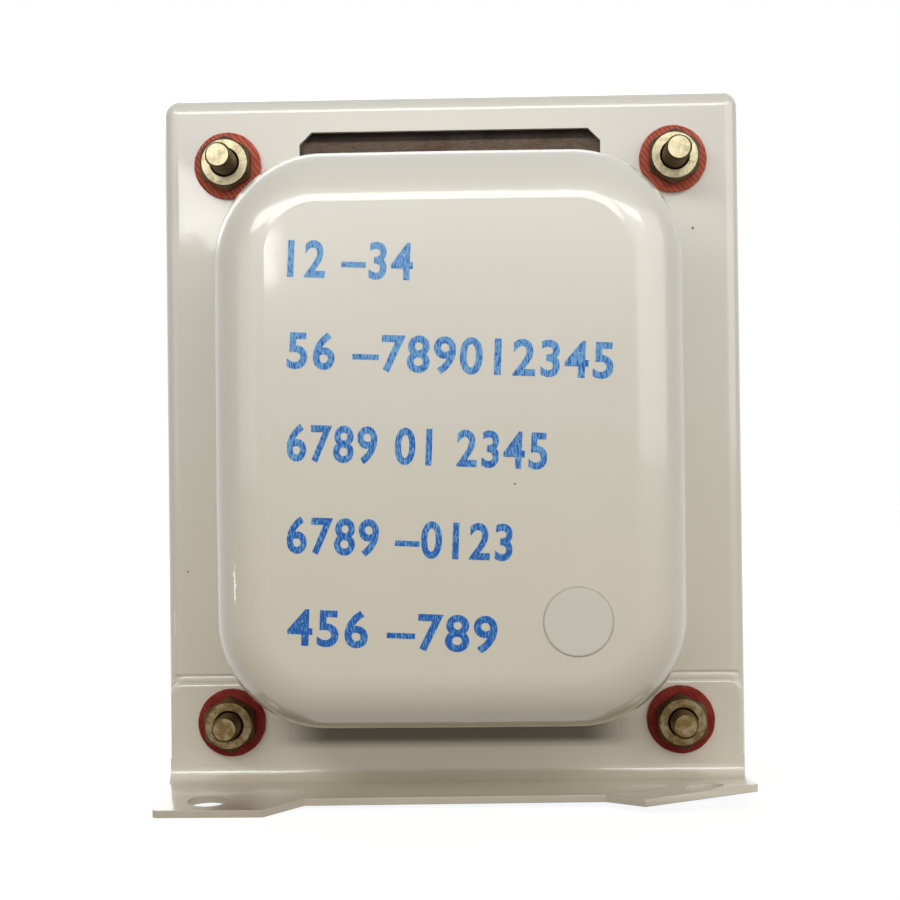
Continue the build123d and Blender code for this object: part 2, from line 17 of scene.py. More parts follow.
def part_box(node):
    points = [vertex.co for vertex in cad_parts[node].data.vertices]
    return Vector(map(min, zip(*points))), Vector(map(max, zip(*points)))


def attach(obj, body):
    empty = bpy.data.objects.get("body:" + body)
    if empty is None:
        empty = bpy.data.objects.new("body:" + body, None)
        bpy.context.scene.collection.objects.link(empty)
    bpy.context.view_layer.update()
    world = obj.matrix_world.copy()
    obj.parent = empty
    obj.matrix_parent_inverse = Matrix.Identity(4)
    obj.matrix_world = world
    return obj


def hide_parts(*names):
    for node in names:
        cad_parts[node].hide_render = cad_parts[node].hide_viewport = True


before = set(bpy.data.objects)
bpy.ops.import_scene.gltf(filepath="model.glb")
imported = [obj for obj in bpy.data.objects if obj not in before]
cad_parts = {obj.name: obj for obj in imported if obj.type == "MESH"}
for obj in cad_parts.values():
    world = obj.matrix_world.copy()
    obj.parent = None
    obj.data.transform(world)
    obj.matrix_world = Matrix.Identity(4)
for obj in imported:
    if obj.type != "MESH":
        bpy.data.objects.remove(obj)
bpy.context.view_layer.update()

bl_info = {
    "name": "Travel transformer",
    "version": (1, 0, 0),
    "blender": (4, 5, 0),
    "location": "3D View > Sidebar > Transformer",
    "description": "Dresses a packed travel transformer with its finishes and fine pieces",
    "category": "Object",
}

MM = 0.001
BODY = "root"
TO_FRONT = (math.pi / 2, 0, 0)
ROUND_STEPS = 96
NEAR = 0.01
CLEAR = 0.004
SEAM = 0.0005
WHITE = (1.0, 1.0, 1.0)
ROOM_COLOUR = (1.0, 0.955, 0.87)
LAMP_COLOUR = (1.0, 1.0, 0.99)
FLOOR_GLOW = (0.95, 0.97, 1.0)
FLOOR_GLOW_LEVEL = 0.92

# How far the nuts and the bolts are turned on their axes, in radians
NUT_TURNS = [-math.radians(degrees) for degrees in (30, 28, 33, 34)]
BOLT_TURNS = (0, 0.7, 1.4, 2.1)

# How large a recess arm is at its bottom, as shares of its mouth's length, width and height
RECESS_TAPER = (0.55, 0.8, 1)

# The thread's tooth, as shares of its pitch: where its flank and its crest end and its root starts
FLANK_END, CREST_END, ROOT_START = 0.38, 0.5, 0.88

# The washers' uneven rims: how fine the coarse and the fine lumps are, and how far apart two
# washers read the noise
FRAY_COARSE, FRAY_FINE, FRAY_APART = 1.6, 3.7, 7.3

# The rows of print: # stands for the next digit, and each row has its width in millimetres
ROWS = (
    ("## –##", 13.2),
    ("## –#########", 34.1),
    ("#### ## ####", 27.2),
    ("#### –####", 23.6),
    ("### –###", 22.0),
)

# The lamps: what each aims at, to the right of the middle and above the core's middle, how far it
# stands above that and to the right of the front, in degrees, and its distance, width and height
LAMPS = {
    "key": (0, 25, 25, -2, 330, 267, 70),
    "left_corner": (-19, 24, 28, -36, 330, 140, 64),
    "right_corner": (19, 24, 29, 36, 330, 140, 40),
    "window": (-31.7, 30.6, 8.2, -9.2, 130, 12, 14),
    "left": (-30, 0, 8, -48, 420, 300, 150),
    "right": (30, 0, 18, 55, 900, 1100, 600),
    "rear": (0, 0, 28, 200, 800, 800, 440),
    "left_glint": (-22.7, -17, -6.5, -84, 200, 9, 14),
    "right_glint": (20.3, -17, -9.2, 33, 230, 9, 9),
}


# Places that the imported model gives, in millimetres


def node_box(name):
    low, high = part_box(name)
    return low / MM, high / MM


def middle_of(low, high):
    return (low + high) / 2


def foremost(name, lowest):
    """How far forward a node reaches above a height."""
    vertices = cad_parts[name].data.vertices
    return min(vertex.co.y / MM for vertex in vertices if vertex.co.z / MM > lowest)


core_low = node_box("e_laminations_open_right")[0]
core_high = node_box("e_laminations_open_left")[1]
core_middle_z = (core_low.z + core_high.z) / 2
washers_low, washers_high = node_box("front_fibre_washers")
rear_washers_high = node_box("rear_fibre_washers")[1]
bolts_low, bolts_high = node_box("clamp_bolts")
nuts_low = node_box("front_nuts")[0]
cover_low, cover_high = node_box("front_cover")
dome_low = core_middle_z - 25  # about where the front dome's face starts
dome_high = core_middle_z + 25  # and ends
dome_front = foremost("front_cover", dome_low)
sticker_low, sticker_high = node_box("round_sticker")
sticker_radius = (sticker_high.x - sticker_low.x) / 2
sticker_middle = middle_of(sticker_low, sticker_high)
leg_width = node_box("i_laminations_right")[1].x - node_box("i_laminations_right")[0].x


# Properties


def linear(red, green, blue):
    """A colour as Blender wants it, from the three values of a picture, each 0 to 255."""
    levels = []
    for value in (red, green, blue):
        share = value / 255
        levels.append(share / 12.92 if share < 0.04045 else ((share + 0.055) / 1.055) ** 2.4)
    return tuple(levels)


def length(name, description, millimetres):
    return bpy.props.FloatProperty(name=name, description=description, default=millimetres * MM,
                                   unit="LENGTH", precision=5)


def angle(name, description, degrees):
    return bpy.props.FloatProperty(name=name, description=description, subtype="ANGLE",
                                   default=math.radians(degrees))


def number(name, description, value):
    return bpy.props.FloatProperty(name=name, description=description, default=value)


def count(name, description, value):
    return bpy.props.IntProperty(name=name, description=description, default=value)


def colour(name, description, red, green, blue):
    return bpy.props.FloatVectorProperty(name=name, description=description, subtype="COLOR",
                                         size=3, min=0, max=1, default=linear(red, green, blue))


def in_millimetres(group):
    """The lengths of a property group, in millimetres."""
    lengths = {}
    for item in group.bl_rna.properties:
        if item.type == "FLOAT" and item.unit == "LENGTH":
            lengths[item.identifier] = getattr(group, item.identifier) / MM
    return SimpleNamespace(**lengths)


class CoverLook(bpy.types.PropertyGroup):
    enamel: colour("Enamel", "Colour of the covers' paint", 218, 215, 204)
    # Dust, which also paints a warm shade on the covers low down
    dust: colour("Dust", "Colour of the dust on the covers, thickest low down", 206, 190, 152)
    # Grime, which also paints shade at the feet and in the crease above the bottom panel
    grime: colour("Grime", "Colour of what has settled in the corners", 128, 110, 82)
    # The specks' colour, which also paints the shadow under the dome
    speck: colour("Specks", "Colour of the dirt caught in the paint", 70, 58, 46)
    peel_size: length("Orange peel size", "Width of one dimple in the paint", 1.5)
    peel_depth: length("Orange peel depth", "Depth of the dimples", 0.006)
    wave_size: length("Wave size", "Width of the waves in the pressed sheet", 11.0)
    wave_depth: length("Wave depth", "Depth of the waves", 0.12)
    paint_edge: length("Paint edge", "Radius of the paint over a sheared edge", 0.16)
    sheet: length("Sheet", "Thickness of the covers' sheet", 0.8)
    foot_splay: length("Foot splay", "How much higher the front feet lie at their bend", 1.2)
    foot_twist: length("Foot twist", "How far the right front foot's outer corner is bent up", 2.5)
    foot_reach: length("Foot reach", "How far a foot stands forward of the panel", 12.0)
    foot_start: length("Foot start", "How far from the middle the twist starts", 14.0)
    corner_height: length("Corner height", "Height at which the bottom panel's corners start", 3.4)
    dome_root: length("Dome root", "Height of the lower end of the dome's root", 8.6)
    panel_top: length("Panel top", "Height of the crease above the bottom panel", 13.9)


class CoreLook(bpy.types.PropertyGroup):
    steel: colour("Sheet steel", "Colour of the core sheets' faces", 104, 86, 70)
    sheared: colour("Sheared edge", "Colour of the core sheets' edges", 84, 72, 64)
    rust: colour("Rust", "Colour of the rust on the edges", 86, 56, 40)
    glint: colour("Glint", "Colour of the bright scratches", 168, 152, 134)
    # Colour of the painted shadow along the top of the core sheets
    varnish: colour("Varnish", "Colour of the dark varnish", 24, 14, 10)
    sheet: length("Sheet thickness", "Thickness of one core sheet", 0.5)
    gap: length("Gap", "Gap between two core sheets", 0.025)
    burr: length("Edge radius", "Radius at the sheared edges", 0.05)
    slip: length("Slip", "How far a sheet may lie out of line", 0.07)
    hole: length("Hole", "Diameter of the bolt holes in the core", 4.6)
    packets: count("Packets", "Number of packets in the stack", 16)


class HardwareLook(bpy.types.PropertyGroup):
    plating: colour("Plating", "Colour of the plated steel", 192, 182, 150)
    # Tarnish, which also paints shade on the lower nuts and bolts
    tarnish: colour("Tarnish", "Colour of the dull patches on it", 104, 84, 50)
    # Soot, which also paints shade on the nuts' sides and in the threads
    soot: colour("Soot", "Colour of the dirt on the nuts' sides and in the threads", 70, 53, 30)
    fibre: colour("Fibre", "Colour of the fibre washers", 202, 106, 84)
    fibre_dark: colour("Fibre shade", "Colour of their darker strands", 138, 44, 34)
    # Painted shade: the darker colour of the lower washers
    fibre_low: colour("Soaked fibre", "Colour of the lower washers' oil-soaked fibre", 122, 20, 18)
    panel_rise: length("Panel rise", "How far the bottom panel stands forward of the plate", 1.0)
    bolt: length("Bolt diameter", "Outer diameter of the thread", 2.9)
    root: length("Thread root", "Inner diameter of the thread", 2.42)
    pitch: length("Thread pitch", "Distance between two turns of the thread", 0.5)
    tip: length("Tip diameter", "Diameter of the bolt's flat tip", 2.45)
    thread: length("Thread length", "Length of the bolt's thread", 11.0)
    head: length("Head diameter", "Diameter of the bolt's head", 5.6)
    head_height: length("Head height", "Height of the bolt's head", 2.2)
    head_round: length("Head rounding", "Radius of the head's edge", 1.0)
    head_chamfer: length("Head chamfer", "Chamfer of the head's seat", 0.1)
    recess_width: length("Recess width", "Width of the cross recess's arms", 0.75)
    recess_length: length("Recess length", "Length of the cross recess's arms", 3.2)
    recess_depth: length("Recess depth", "Depth of the cross recess", 1.1)
    flats: length("Nut width", "Nut width across two flats", 5.5)
    nut_height: length("Nut height", "Height of a nut", 2.4)
    nut_ring: length("Nut face", "Diameter of a nut's flat face", 5.15)
    nut_corner: length("Nut corners", "Diameter over a nut's rounded corners", 6.1)
    nut_chamfer: length("Nut chamfer", "Height of the chamfer at a nut's corners", 0.5)
    nut_mouth: length("Thread mouth", "Diameter of the countersink in a nut's face", 3.4)
    nut_edge: length("Nut edge", "Radius along a nut's edges", 0.07)
    nut_clearance: length("Nut clearance", "Gap between a nut and its bolt", 0.02)
    washer: length("Washer diameter", "Diameter of a fibre washer", 7.7)
    washer_bore: length("Washer bore", "Diameter of a fibre washer's bore", 3.2)
    washer_height: length("Washer thickness", "Thickness of a fibre washer", 0.8)
    washer_edge: length("Washer edge", "Radius at a fibre washer's rim", 0.16)
    washer_fray: length("Washer fray", "How uneven a fibre washer's rim is", 0.09)


class PrintLook(bpy.types.PropertyGroup):
    ink: colour("Ink", "Colour of the print where it is full", 10, 94, 182)
    ink_thin: colour("Thin ink", "Colour of the print where it is thin", 112, 170, 222)
    crown: length("Crown radius", "Radius of the front dome's face", 350.0)
    left: length("Left edge", "How far left of the middle the rows start", 16.5)
    top: length("First row", "Top of the first row above the middle of the core", 21.0)
    row_pitch: length("Row pitch", "Distance from one row to the next", 9.65)
    digit_height: length("Digit height", "Height of the digits", 4.0)
    tilt: angle("Tilt", "How far the print leans down to the right", 2.6)
    lean: number("Lean", "How far the rows step to the left going down, as a share", 0.012)
    film: length("Ink thickness", "Thickness of the ink", 0.02)
    weight: number("Weight", "Thickening of the strokes, as a share of the digits' size", 0.024)
    spacing: number("Spacing", "Distance from digit to digit, as a share of its plain value", 1.12)


class StickerLook(bpy.types.PropertyGroup):
    film: colour("Film", "Colour of the sticker", 220, 216, 204)
    # The darker colour along the sticker's edge
    edge: colour("Edge", "Colour of the dirt round the sticker's edge", 132, 120, 100)
    edge_radius: length("Edge radius", "Radius of the sticker's edge", 0.06)
    thickness: length("Thickness", "Thickness of the sticker", 0.11)


class OutletLook(bpy.types.PropertyGroup):
    plastic: colour("Outlet plastic", "Colour of the outlet's body", 34, 33, 32)
    cap: colour("Outlet cap", "Colour of the outlet's back cap", 52, 50, 47)
    brass: colour("Contact brass", "Colour of the contacts", 196, 160, 92)
    rubber: colour("Rubber", "Colour of the grommet", 38, 37, 36)


class CoilLook(bpy.types.PropertyGroup):
    nylon: colour("Nylon", "Colour of the bobbin", 222, 217, 202)
    wire: colour("Wire", "Colour of the enamelled wire", 168, 88, 44)
    tape: colour("Tape", "Colour of the coil's tape", 206, 176, 92)
    wire_size: length("Wire size", "Diameter of the winding wire", 0.4)
    tape_width: length("Tape width", "Width of the coil's tape", 12.0)


class LeadLook(bpy.types.PropertyGroup):
    black: colour("Black lead", "Colour of the live leads' insulation", 38, 37, 38)
    white: colour("White lead", "Colour of the neutral leads' insulation", 218, 215, 206)
    case: colour("Fuse case", "Colour of the thermal fuse's case", 196, 193, 186)
    splice: colour("Splice", "Colour of the crimp splices", 222, 219, 204)


class StageLook(bpy.types.PropertyGroup):
    floor: colour("Floor", "Colour of the floor", 124, 108, 78)
    floor_size: length("Floor size", "Width of the floor", 3000.0)
    key_power: number("Key power", "Watts of the long box above the camera", 0.385)
    left_corner_power: number("Left corner power", "Watts of the box for the left corner", 0.18)
    right_corner_power: number("Right corner power", "Watts of the box for the right corner", 0.1)
    window_power: number("Window power", "Watts of the small box left of the camera", 0.0042)
    left_power: number("Left power", "Watts of the soft box on the left", 0.1)
    right_power: number("Right power", "Watts of the wide soft box on the right", 3.0)
    rear_power: number("Rear power", "Watts of the wide soft box behind", 1.6)
    left_glint_power: number("Left glint power", "Watts of the small lamp on the left", 0.006)
    right_glint_power: number("Right glint power", "Watts of the small lamp on the right", 0.008)
    world_level: number("Room light", "Strength of the light that comes from all round", 0.11)
    camera_x: length("Camera X", "Camera place to the right", 6.05)
    camera_y: length("Camera Y", "Camera place along the view", -231.18)
    camera_z: length("Camera Z", "Camera height", 36.75)
    camera_pitch: angle("Camera pitch", "Camera turn about X", 90.691)
    camera_yaw: angle("Camera yaw", "Camera turn about Z", 1.708)
    camera_roll: angle("Camera roll", "Camera turn about its own view", -0.664)
    camera_lens: number("Lens", "Focal length in millimetres on a sensor 36 mm wide", 75.107)


# Modelling helpers


def deselect_all():
    bpy.ops.object.select_all(action="DESELECT")


def select_only(piece):
    deselect_all()
    piece.select_set(True)
    bpy.context.view_layer.objects.active = piece


def add_primitive(kind, name, **settings):
    """A new primitive, which is then the only thing selected."""
    deselect_all()
    getattr(bpy.ops.mesh, f"primitive_{kind}_add")(**settings)
    piece = bpy.context.object
    piece.name = name
    return piece


def add_block(name, low, high):
    """A block between two corners."""
    middle = middle_of(low, high)
    piece = add_primitive("cube", name, size=1, location=middle)
    piece.scale = high - low
    bpy.ops.object.transform_apply()
    return piece


def add_rod(name, radius, bottom, top, sides=32):
    """A round rod along Z."""
    return add_primitive("cylinder", name, vertices=sides, radius=radius, depth=top - bottom,
                         location=(0, 0, (bottom + top) / 2))


def apply_modifier(piece, kind, **settings):
    modifier = piece.modifiers.new(kind.lower(), kind)
    for key, value in settings.items():
        setattr(modifier, key, value)
    select_only(piece)
    bpy.ops.object.modifier_apply(modifier=modifier.name)


def combine(piece, tool, operation):
    """Cuts a piece with a tool, or keeps what both hold, and removes the tool."""
    apply_modifier(piece, "BOOLEAN", operation=operation, object=tool, solver="EXACT")
    bpy.data.objects.remove(tool)


def round_edges(piece, radius, segments=2, above=30):
    """Rounds every edge that turns by more than an angle in degrees."""
    apply_modifier(piece, "BEVEL", width=radius, segments=segments, limit_method="ANGLE",
                   angle_limit=math.radians(above))


@contextmanager
def editing(piece):
    """Edit mode on a piece, with everything in it selected."""
    select_only(piece)
    bpy.ops.object.mode_set(mode="EDIT")
    bpy.ops.mesh.select_all(action="SELECT")
    yield
    bpy.ops.object.mode_set(mode="OBJECT")


def draw_profile(name, points):
    """A line through the points, drawn in the plane of X and Z by extruding one vertex."""
    piece = add_primitive("plane", name, size=1)
    with editing(piece):
        bpy.ops.mesh.merge(type="CENTER")
        bpy.ops.transform.translate(value=(points[0][0], 0, points[0][1]))
        for before, after in zip(points, points[1:]):
            step = (after[0] - before[0], 0, after[1] - before[1])
            bpy.ops.mesh.extrude_region_move(TRANSFORM_OT_translate={"value": step})
    return piece


def face_outwards(piece):
    """Merges doubled points and turns all faces outwards."""
    with editing(piece):
        bpy.ops.mesh.remove_doubles(threshold=2 * SEAM)
        bpy.ops.mesh.normals_make_consistent(inside=False)


def turn_profile(name, points, steps=48):
    """A solid of revolution about Z."""
    piece = draw_profile(name, points)
    apply_modifier(piece, "SCREW", axis="Z", angle=math.tau, steps=steps, render_steps=steps,
                   use_merge_vertices=True, merge_threshold=SEAM)
    face_outwards(piece)
    return piece


def rounded_corner(middle_x, middle_z, radius, start, end, steps=4):
    """Points on an arc about a middle, from one angle in degrees to another."""
    points = []
    for step in range(steps + 1):
        turn = math.radians(start + (end - start) * step / steps)
        points.append((middle_x + radius * math.cos(turn), middle_z + radius * math.sin(turn)))
    return points


def mesh_box(piece):
    """The low and high corner of a piece's mesh."""
    ways = list(zip(*(vertex.co for vertex in piece.data.vertices)))
    return Vector(map(min, ways)), Vector(map(max, ways))


def copy_of(piece, name):
    """A copy with its own mesh."""
    twin = bpy.data.objects.new(name, piece.data.copy())
    bpy.context.scene.collection.objects.link(twin)
    return twin


def place(piece, location, turns=(0, 0, 0)):
    """Moves and turns a piece, and applies that to its mesh."""
    piece.location = location
    piece.rotation_euler = turns
    select_only(piece)
    bpy.ops.object.transform_apply()


def join(pieces, name):
    deselect_all()
    for piece in pieces:
        piece.select_set(True)
    bpy.context.view_layer.objects.active = pieces[0]
    bpy.ops.object.join()
    joined = bpy.context.object
    joined.name = name
    joined.data.name = name
    return joined


def set_in_place(piece, finish, nodes):
    """Gives a piece its finish and its body, and puts it in place of CAD nodes."""
    piece.data.materials.clear()
    piece.data.materials.append(finish)
    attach(piece, BODY)
    if nodes:
        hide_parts(*nodes)


def finish_piece(piece, finish, nodes, smooth_angle=35):
    """Brings a piece to metres, smooths it and sets it in place."""
    select_only(piece)
    piece.scale = (MM, MM, MM)
    bpy.ops.object.transform_apply()
    bpy.ops.object.shade_smooth_by_angle(angle=math.radians(smooth_angle))
    set_in_place(piece, finish, nodes)


def dress(finish, *nodes):
    """Gives CAD nodes their finish."""
    for node in nodes:
        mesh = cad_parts[node].data
        mesh.materials.clear()
        mesh.materials.append(finish)


def bolt_places():
    """The bolt axes as (x, z, is_low), from the top left to the bottom right."""
    radius = in_millimetres(bpy.context.scene.transformer_hardware).washer / 2
    left = washers_low.x + radius
    right = washers_high.x - radius
    top = washers_high.z - radius
    bottom = washers_low.z + radius
    return [(left, top, False), (right, top, False), (left, bottom, True), (right, bottom, True)]


def copies_on_axes(piece, name, upper_y, lower_y, turns):
    """Joined copies of a piece, one on each bolt axis."""
    placed = []
    for index, (x, z, is_low) in enumerate(bolt_places()):
        twin = copy_of(piece, f"{name}_{index}")
        place(twin, (x, lower_y if is_low else upper_y, z), (math.pi / 2, turns[index], 0))
        placed.append(twin)
    bpy.data.objects.remove(piece)
    return join(placed, name)


def draw_in(vertex, share):
    """Moves a vertex towards the Z axis, to a share of its distance."""
    vertex.co.x *= share
    vertex.co.y *= share


# Shader helpers


class Value:
    """One output of a node. Arithmetic on it adds Math nodes."""

    def __init__(self, nodes, socket):
        self.nodes = nodes
        self.socket = socket

    def math(self, operation, *others):
        return self.nodes.math(operation, self, *others)

    def __add__(self, other):
        return self.math("ADD", other)

    def __mul__(self, other):
        return self.math("MULTIPLY", other)

    def __sub__(self, other):
        return self.math("SUBTRACT", other)

    def __rsub__(self, other):
        return self.nodes.math("SUBTRACT", other, self)

    __radd__ = __add__
    __rmul__ = __mul__

    def between(self, low, high):
        """0 below low and 1 above high, with a soft step from one to the other."""
        return self.nodes.node(
            "ShaderNodeMapRange", {"interpolation_type": "SMOOTHSTEP"},
            {"Value": self, "From Min": low, "From Max": high, "To Min": 0.0, "To Max": 1.0})

    def beside(self, middle, full, none):
        """1 within a distance of a middle, and 0 past a larger one."""
        return 1.0 - (self - middle).math("ABSOLUTE").between(full, none)


class Nodes:
    """The nodes of a material or of the world."""

    def __init__(self, tree):
        self.tree = tree
        tree.nodes.clear()

    def set_input(self, socket, value):
        if isinstance(value, Value):
            self.tree.links.new(value.socket, socket)
        elif socket.type == "RGBA":
            socket.default_value = (*value, 1.0)
        else:
            socket.default_value = value

    def node(self, kind, settings=None, values=None, output=0):
        """Adds a node: its settings come first, then its sockets' values or links."""
        made = self.tree.nodes.new(kind)
        for key, value in (settings or {}).items():
            setattr(made, key, value)
        pairs = values.items() if isinstance(values, dict) else enumerate(values or [])
        for key, value in pairs:
            self.set_input(made.inputs[key], value)
        return Value(self, made.outputs[output])

    def math(self, operation, *values):
        return self.node("ShaderNodeMath", {"operation": operation}, values)

    def end_in(self, kind, shader):
        """Adds the output that shows a shader."""
        self.set_input(self.tree.nodes.new(kind).inputs["Surface"], shader)


class Finish(Nodes):
    """One material, made of a principled shader and the nodes that feed it."""

    def __init__(self, name, **constants):
        self.material = bpy.data.materials.new(name)
        self.material.use_nodes = True
        super().__init__(self.material.node_tree)
        self.shader = self.tree.nodes.new("ShaderNodeBsdfPrincipled")
        self.end_in("ShaderNodeOutputMaterial", Value(self, self.shader.outputs[0]))
        self.feed(**constants)
        spot = self.node("ShaderNodeTexCoord", output="Object")
        self.spot = self.node("ShaderNodeVectorMath", {"operation": "SCALE"},
                              {"Vector": spot, "Scale": 1 / MM})

    def feed(self, **values):
        """Sets or links the principled shader's own sockets."""
        for key, value in values.items():
            self.set_input(self.shader.inputs[key.replace("_", " ")], value)

    def complete(self, **values):
        """The material, with the last of its sockets fed."""
        self.feed(**values)
        return self.material

    def stretched(self, x, y, z, turn=0):
        """The spot with each direction scaled, after a turn about Y."""
        return self.node("ShaderNodeMapping", {"vector_type": "POINT"},
                         {"Vector": self.spot, "Rotation": (0, turn, 0), "Scale": (x, y, z)})

    def noise(self, size, detail=2.0, roughness=0.5, spot=None):
        """Cloudy noise from 0 to 1, with lumps of a size in millimetres."""
        return self.node("ShaderNodeTexNoise", {"noise_dimensions": "3D"},
                         {"Vector": spot or self.spot, "Scale": 1 / size, "Detail": detail,
                          "Roughness": roughness})

    def cells(self, size):
        """The distance to the nearest of scattered points, as a share of their spacing."""
        values = {"Vector": self.spot, "Scale": 1 / size}
        return self.node("ShaderNodeTexVoronoi", {}, values, "Distance")

    def bands(self, size, distortion, spot=None):
        """Stripes across X, one for each size in millimetres."""
        stripe = math.tau / 20  # as wide as the node draws one at a scale of 1
        return self.node("ShaderNodeTexWave", {"wave_type": "BANDS", "bands_direction": "X"},
                         {"Vector": spot or self.spot, "Scale": stripe / size,
                          "Distortion": distortion, "Detail": 2.0})

    def mix(self, factor, first, second):
        """A colour between two, by a factor."""
        values = {0: factor, 6: first, 7: second}
        return self.node("ShaderNodeMix", {"data_type": "RGBA"}, values, 2)

    def layers(self, base, *coats):
        """A colour under coats, each a factor and a colour, the lowest first."""
        for factor, coat in coats:
            base = self.mix(factor, base, coat)
        return base

    def part_of(self, axis, vector=None):
        """One coordinate of the spot, or of another vector: 0 for X, 1 for Y, 2 for Z."""
        return self.node("ShaderNodeSeparateXYZ", {}, [vector or self.spot], axis)

    def bump(self, height, depth, normal=None):
        """A normal that follows a height from 0 to 1, which stands for a depth in millimetres."""
        values = {"Height": height, "Strength": 1.0, "Distance": depth * MM}
        if normal:
            values["Normal"] = normal
        return self.node("ShaderNodeBump", {}, values)

    def soft_edges(self, radius):
        """A normal that rounds sharp edges by a radius in millimetres."""
        return self.node("ShaderNodeBevel", {"samples": 6}, {"Radius": radius * MM})


# Finishes


def enamel(look):
    """Gloss enamel on pressed sheet: waves, orange peel, specks, dust and grime, and painted shade
    low down, in the crease and under the dome.
    """
    sizes = in_millimetres(look)
    finish = Finish("warm_grey_enamel", IOR=1.52, Coat_Roughness=0.36, Coat_IOR=1.8)
    hardware = in_millimetres(bpy.context.scene.transformer_hardware)
    panel_depth = -washers_low.y - hardware.washer_height
    plate_depth = panel_depth - hardware.panel_rise
    plate = finish.part_of(1).between(washers_low.y - 3, washers_low.y)
    wave = finish.noise(sizes.wave_size, detail=1.0) * (0.25 + 0.75 * plate)
    peel = finish.noise(sizes.peel_size, detail=1.5)
    grain = finish.noise(0.35, detail=2.0)
    tone = finish.noise(18.0, detail=3.0, roughness=0.6)
    speck_place = finish.cells(6.5)
    speck = 1.0 - speck_place.between(0.018, 0.03)
    height = finish.part_of(2)
    depth = finish.part_of(1).math("ABSOLUTE")
    across = finish.part_of(0).math("ABSOLUTE")
    # Painted shade: a dark line in grime colour along the crease above the bottom panel
    shaded_crease = depth.beside(plate_depth, 0.2, 0.4) * height.beside(sizes.panel_top, 0.05, 0.3)
    # Painted shadow: the panel just under the dome is darkened with the specks' colour, and made
    # duller there
    dome_shadow_band = height.beside(sizes.dome_root - 0.9, 0.9, 2.4) * (1.0 - across.between(14, 22))
    painted_dome_shadow = depth.beside(panel_depth, 0.3, 0.6) * dome_shadow_band
    # Grime and painted shade at the feet, below about 2 mm above the floor
    low_grime_and_shade = 1.0 - height.between(1.0, 2.3)
    # Dust and painted warm shade, thickest low down, then grime, painted shade and specks
    base = finish.layers(
        look.enamel, (tone.between(0.3, 0.8) * 0.05, look.grime),
        (0.35 - 0.35 * height.between(0, 75), look.dust),
        (low_grime_and_shade * (0.3 + 0.4 * tone) + shaded_crease * 0.5, look.grime),
        (painted_dome_shadow * 0.9, look.speck), (speck, look.speck))
    dull = finish.noise(7.0, detail=3.0) * 0.06 + 0.5 * shaded_crease + 0.5 * painted_dome_shadow
    normal = finish.soft_edges(sizes.paint_edge)
    normal = finish.bump(wave, sizes.wave_depth, normal)
    normal = finish.bump(peel, sizes.peel_depth, normal)
    normal = finish.bump(grain + 6.0 * speck, 0.0012, normal)
    return finish.complete(Base_Color=base, Roughness=0.05 + dull,
                           Coat_Weight=0.9 - 0.8 * painted_dome_shadow, Normal=normal)


def core_steel(look):
    """Sheared silicon steel, dull and rusty, with a painted shadow along the top."""
    finish = Finish("core_steel", Metallic=0.2, Specular_IOR_Level=0.25)
    slanting = finish.stretched(1.0, 1.0, 2.6, math.radians(-50))
    scratches = finish.noise(0.8, detail=4.0, spot=slanting)
    blotches = finish.noise(3.0, detail=5.0, roughness=0.65)
    glints = finish.noise(0.22, detail=2.0, spot=slanting)
    # Painted shadow: a dark band at the top of the core sheets, where the slot's edge shades them
    varnish = finish.part_of(2).between(core_high.z - 3.75, core_high.z - 3.4)
    base = finish.layers(
        look.sheared, (scratches.between(0.35, 0.7), look.steel),
        (blotches.between(0.5, 0.72) * 0.5, look.rust),
        (glints.between(0.6, 0.74) * 0.45, look.glint),
        (varnish * (0.75 + 0.3 * blotches), look.varnish))
    return finish.complete(Base_Color=base, Roughness=0.5 + 0.35 * blotches,
                           Normal=finish.bump(scratches * 0.7 + blotches * 0.3, 0.08))


def plated_steel(look):
    """Dull zinc plating: bright on flat ends, with soot and painted shade on sides and in threads,
    and painted shade low down.
    """
    finish = Finish("dull_zinc", Metallic=0.9)
    patches = finish.noise(1.1, detail=5.0, roughness=0.65)
    fine = finish.noise(0.16, detail=3.0)
    facing = finish.node("ShaderNodeNewGeometry", output="Normal")
    slanting = finish.stretched(2.2, 1.0, 0.4, math.radians(-42))
    scratches = finish.noise(0.5, detail=3.0, spot=slanting)
    # Painted shade: every surface that doesn't face front or back, threads included, is darkened
    side = 1.0 - finish.part_of(1, facing).math("ABSOLUTE").between(0.86, 0.985)
    # Painted shade: the lower nuts and bolts are darker
    low = 1.0 - finish.part_of(2).between(core_middle_z - 20, core_middle_z + 10)
    dull = patches.between(0.4, 0.7) * 0.5 + low * (0.55 + 0.5 * patches)
    base = finish.layers(
        look.plating, (dull, look.tarnish), (side * (0.8 + 0.3 * fine), look.soot),
        (scratches.between(0.56, 0.7) * 0.35, look.tarnish),
        (fine.between(0.6, 0.8) * 0.25, look.soot))
    relief = finish.bump(patches * 0.4 + fine * 0.2 + scratches * 0.4, 0.035)
    return finish.complete(Base_Color=base, Roughness=0.28 + 0.3 * patches, Normal=relief)


def fibre(look):
    """Vulcanised fibre with fine slanting strands, red at the top and darker at the bottom, where the
    lower washers get painted shade.
    """
    finish = Finish("red_fibre", Specular_IOR_Level=0.2)
    strands = finish.bands(0.5, 2.2, finish.stretched(1.0, 1.0, 1.0, math.radians(38)))
    cloud = finish.noise(1.6, detail=4.0)
    # Painted shade: the lower washers are darker
    low = 1.0 - finish.part_of(2).between(core_middle_z - 10, core_middle_z + 10)
    fine = finish.noise(0.25, detail=3.0)
    base = finish.layers(
        look.fibre, (strands * 0.6, look.fibre_dark),
        (cloud.between(0.4, 0.75) * 0.4, look.fibre_dark),
        (low * (0.6 + 0.5 * cloud), look.fibre_low))
    return finish.complete(Base_Color=base, Roughness=0.55 + 0.2 * cloud,
                           Normal=finish.bump(strands * 0.5 + fine * 0.5, 0.03))


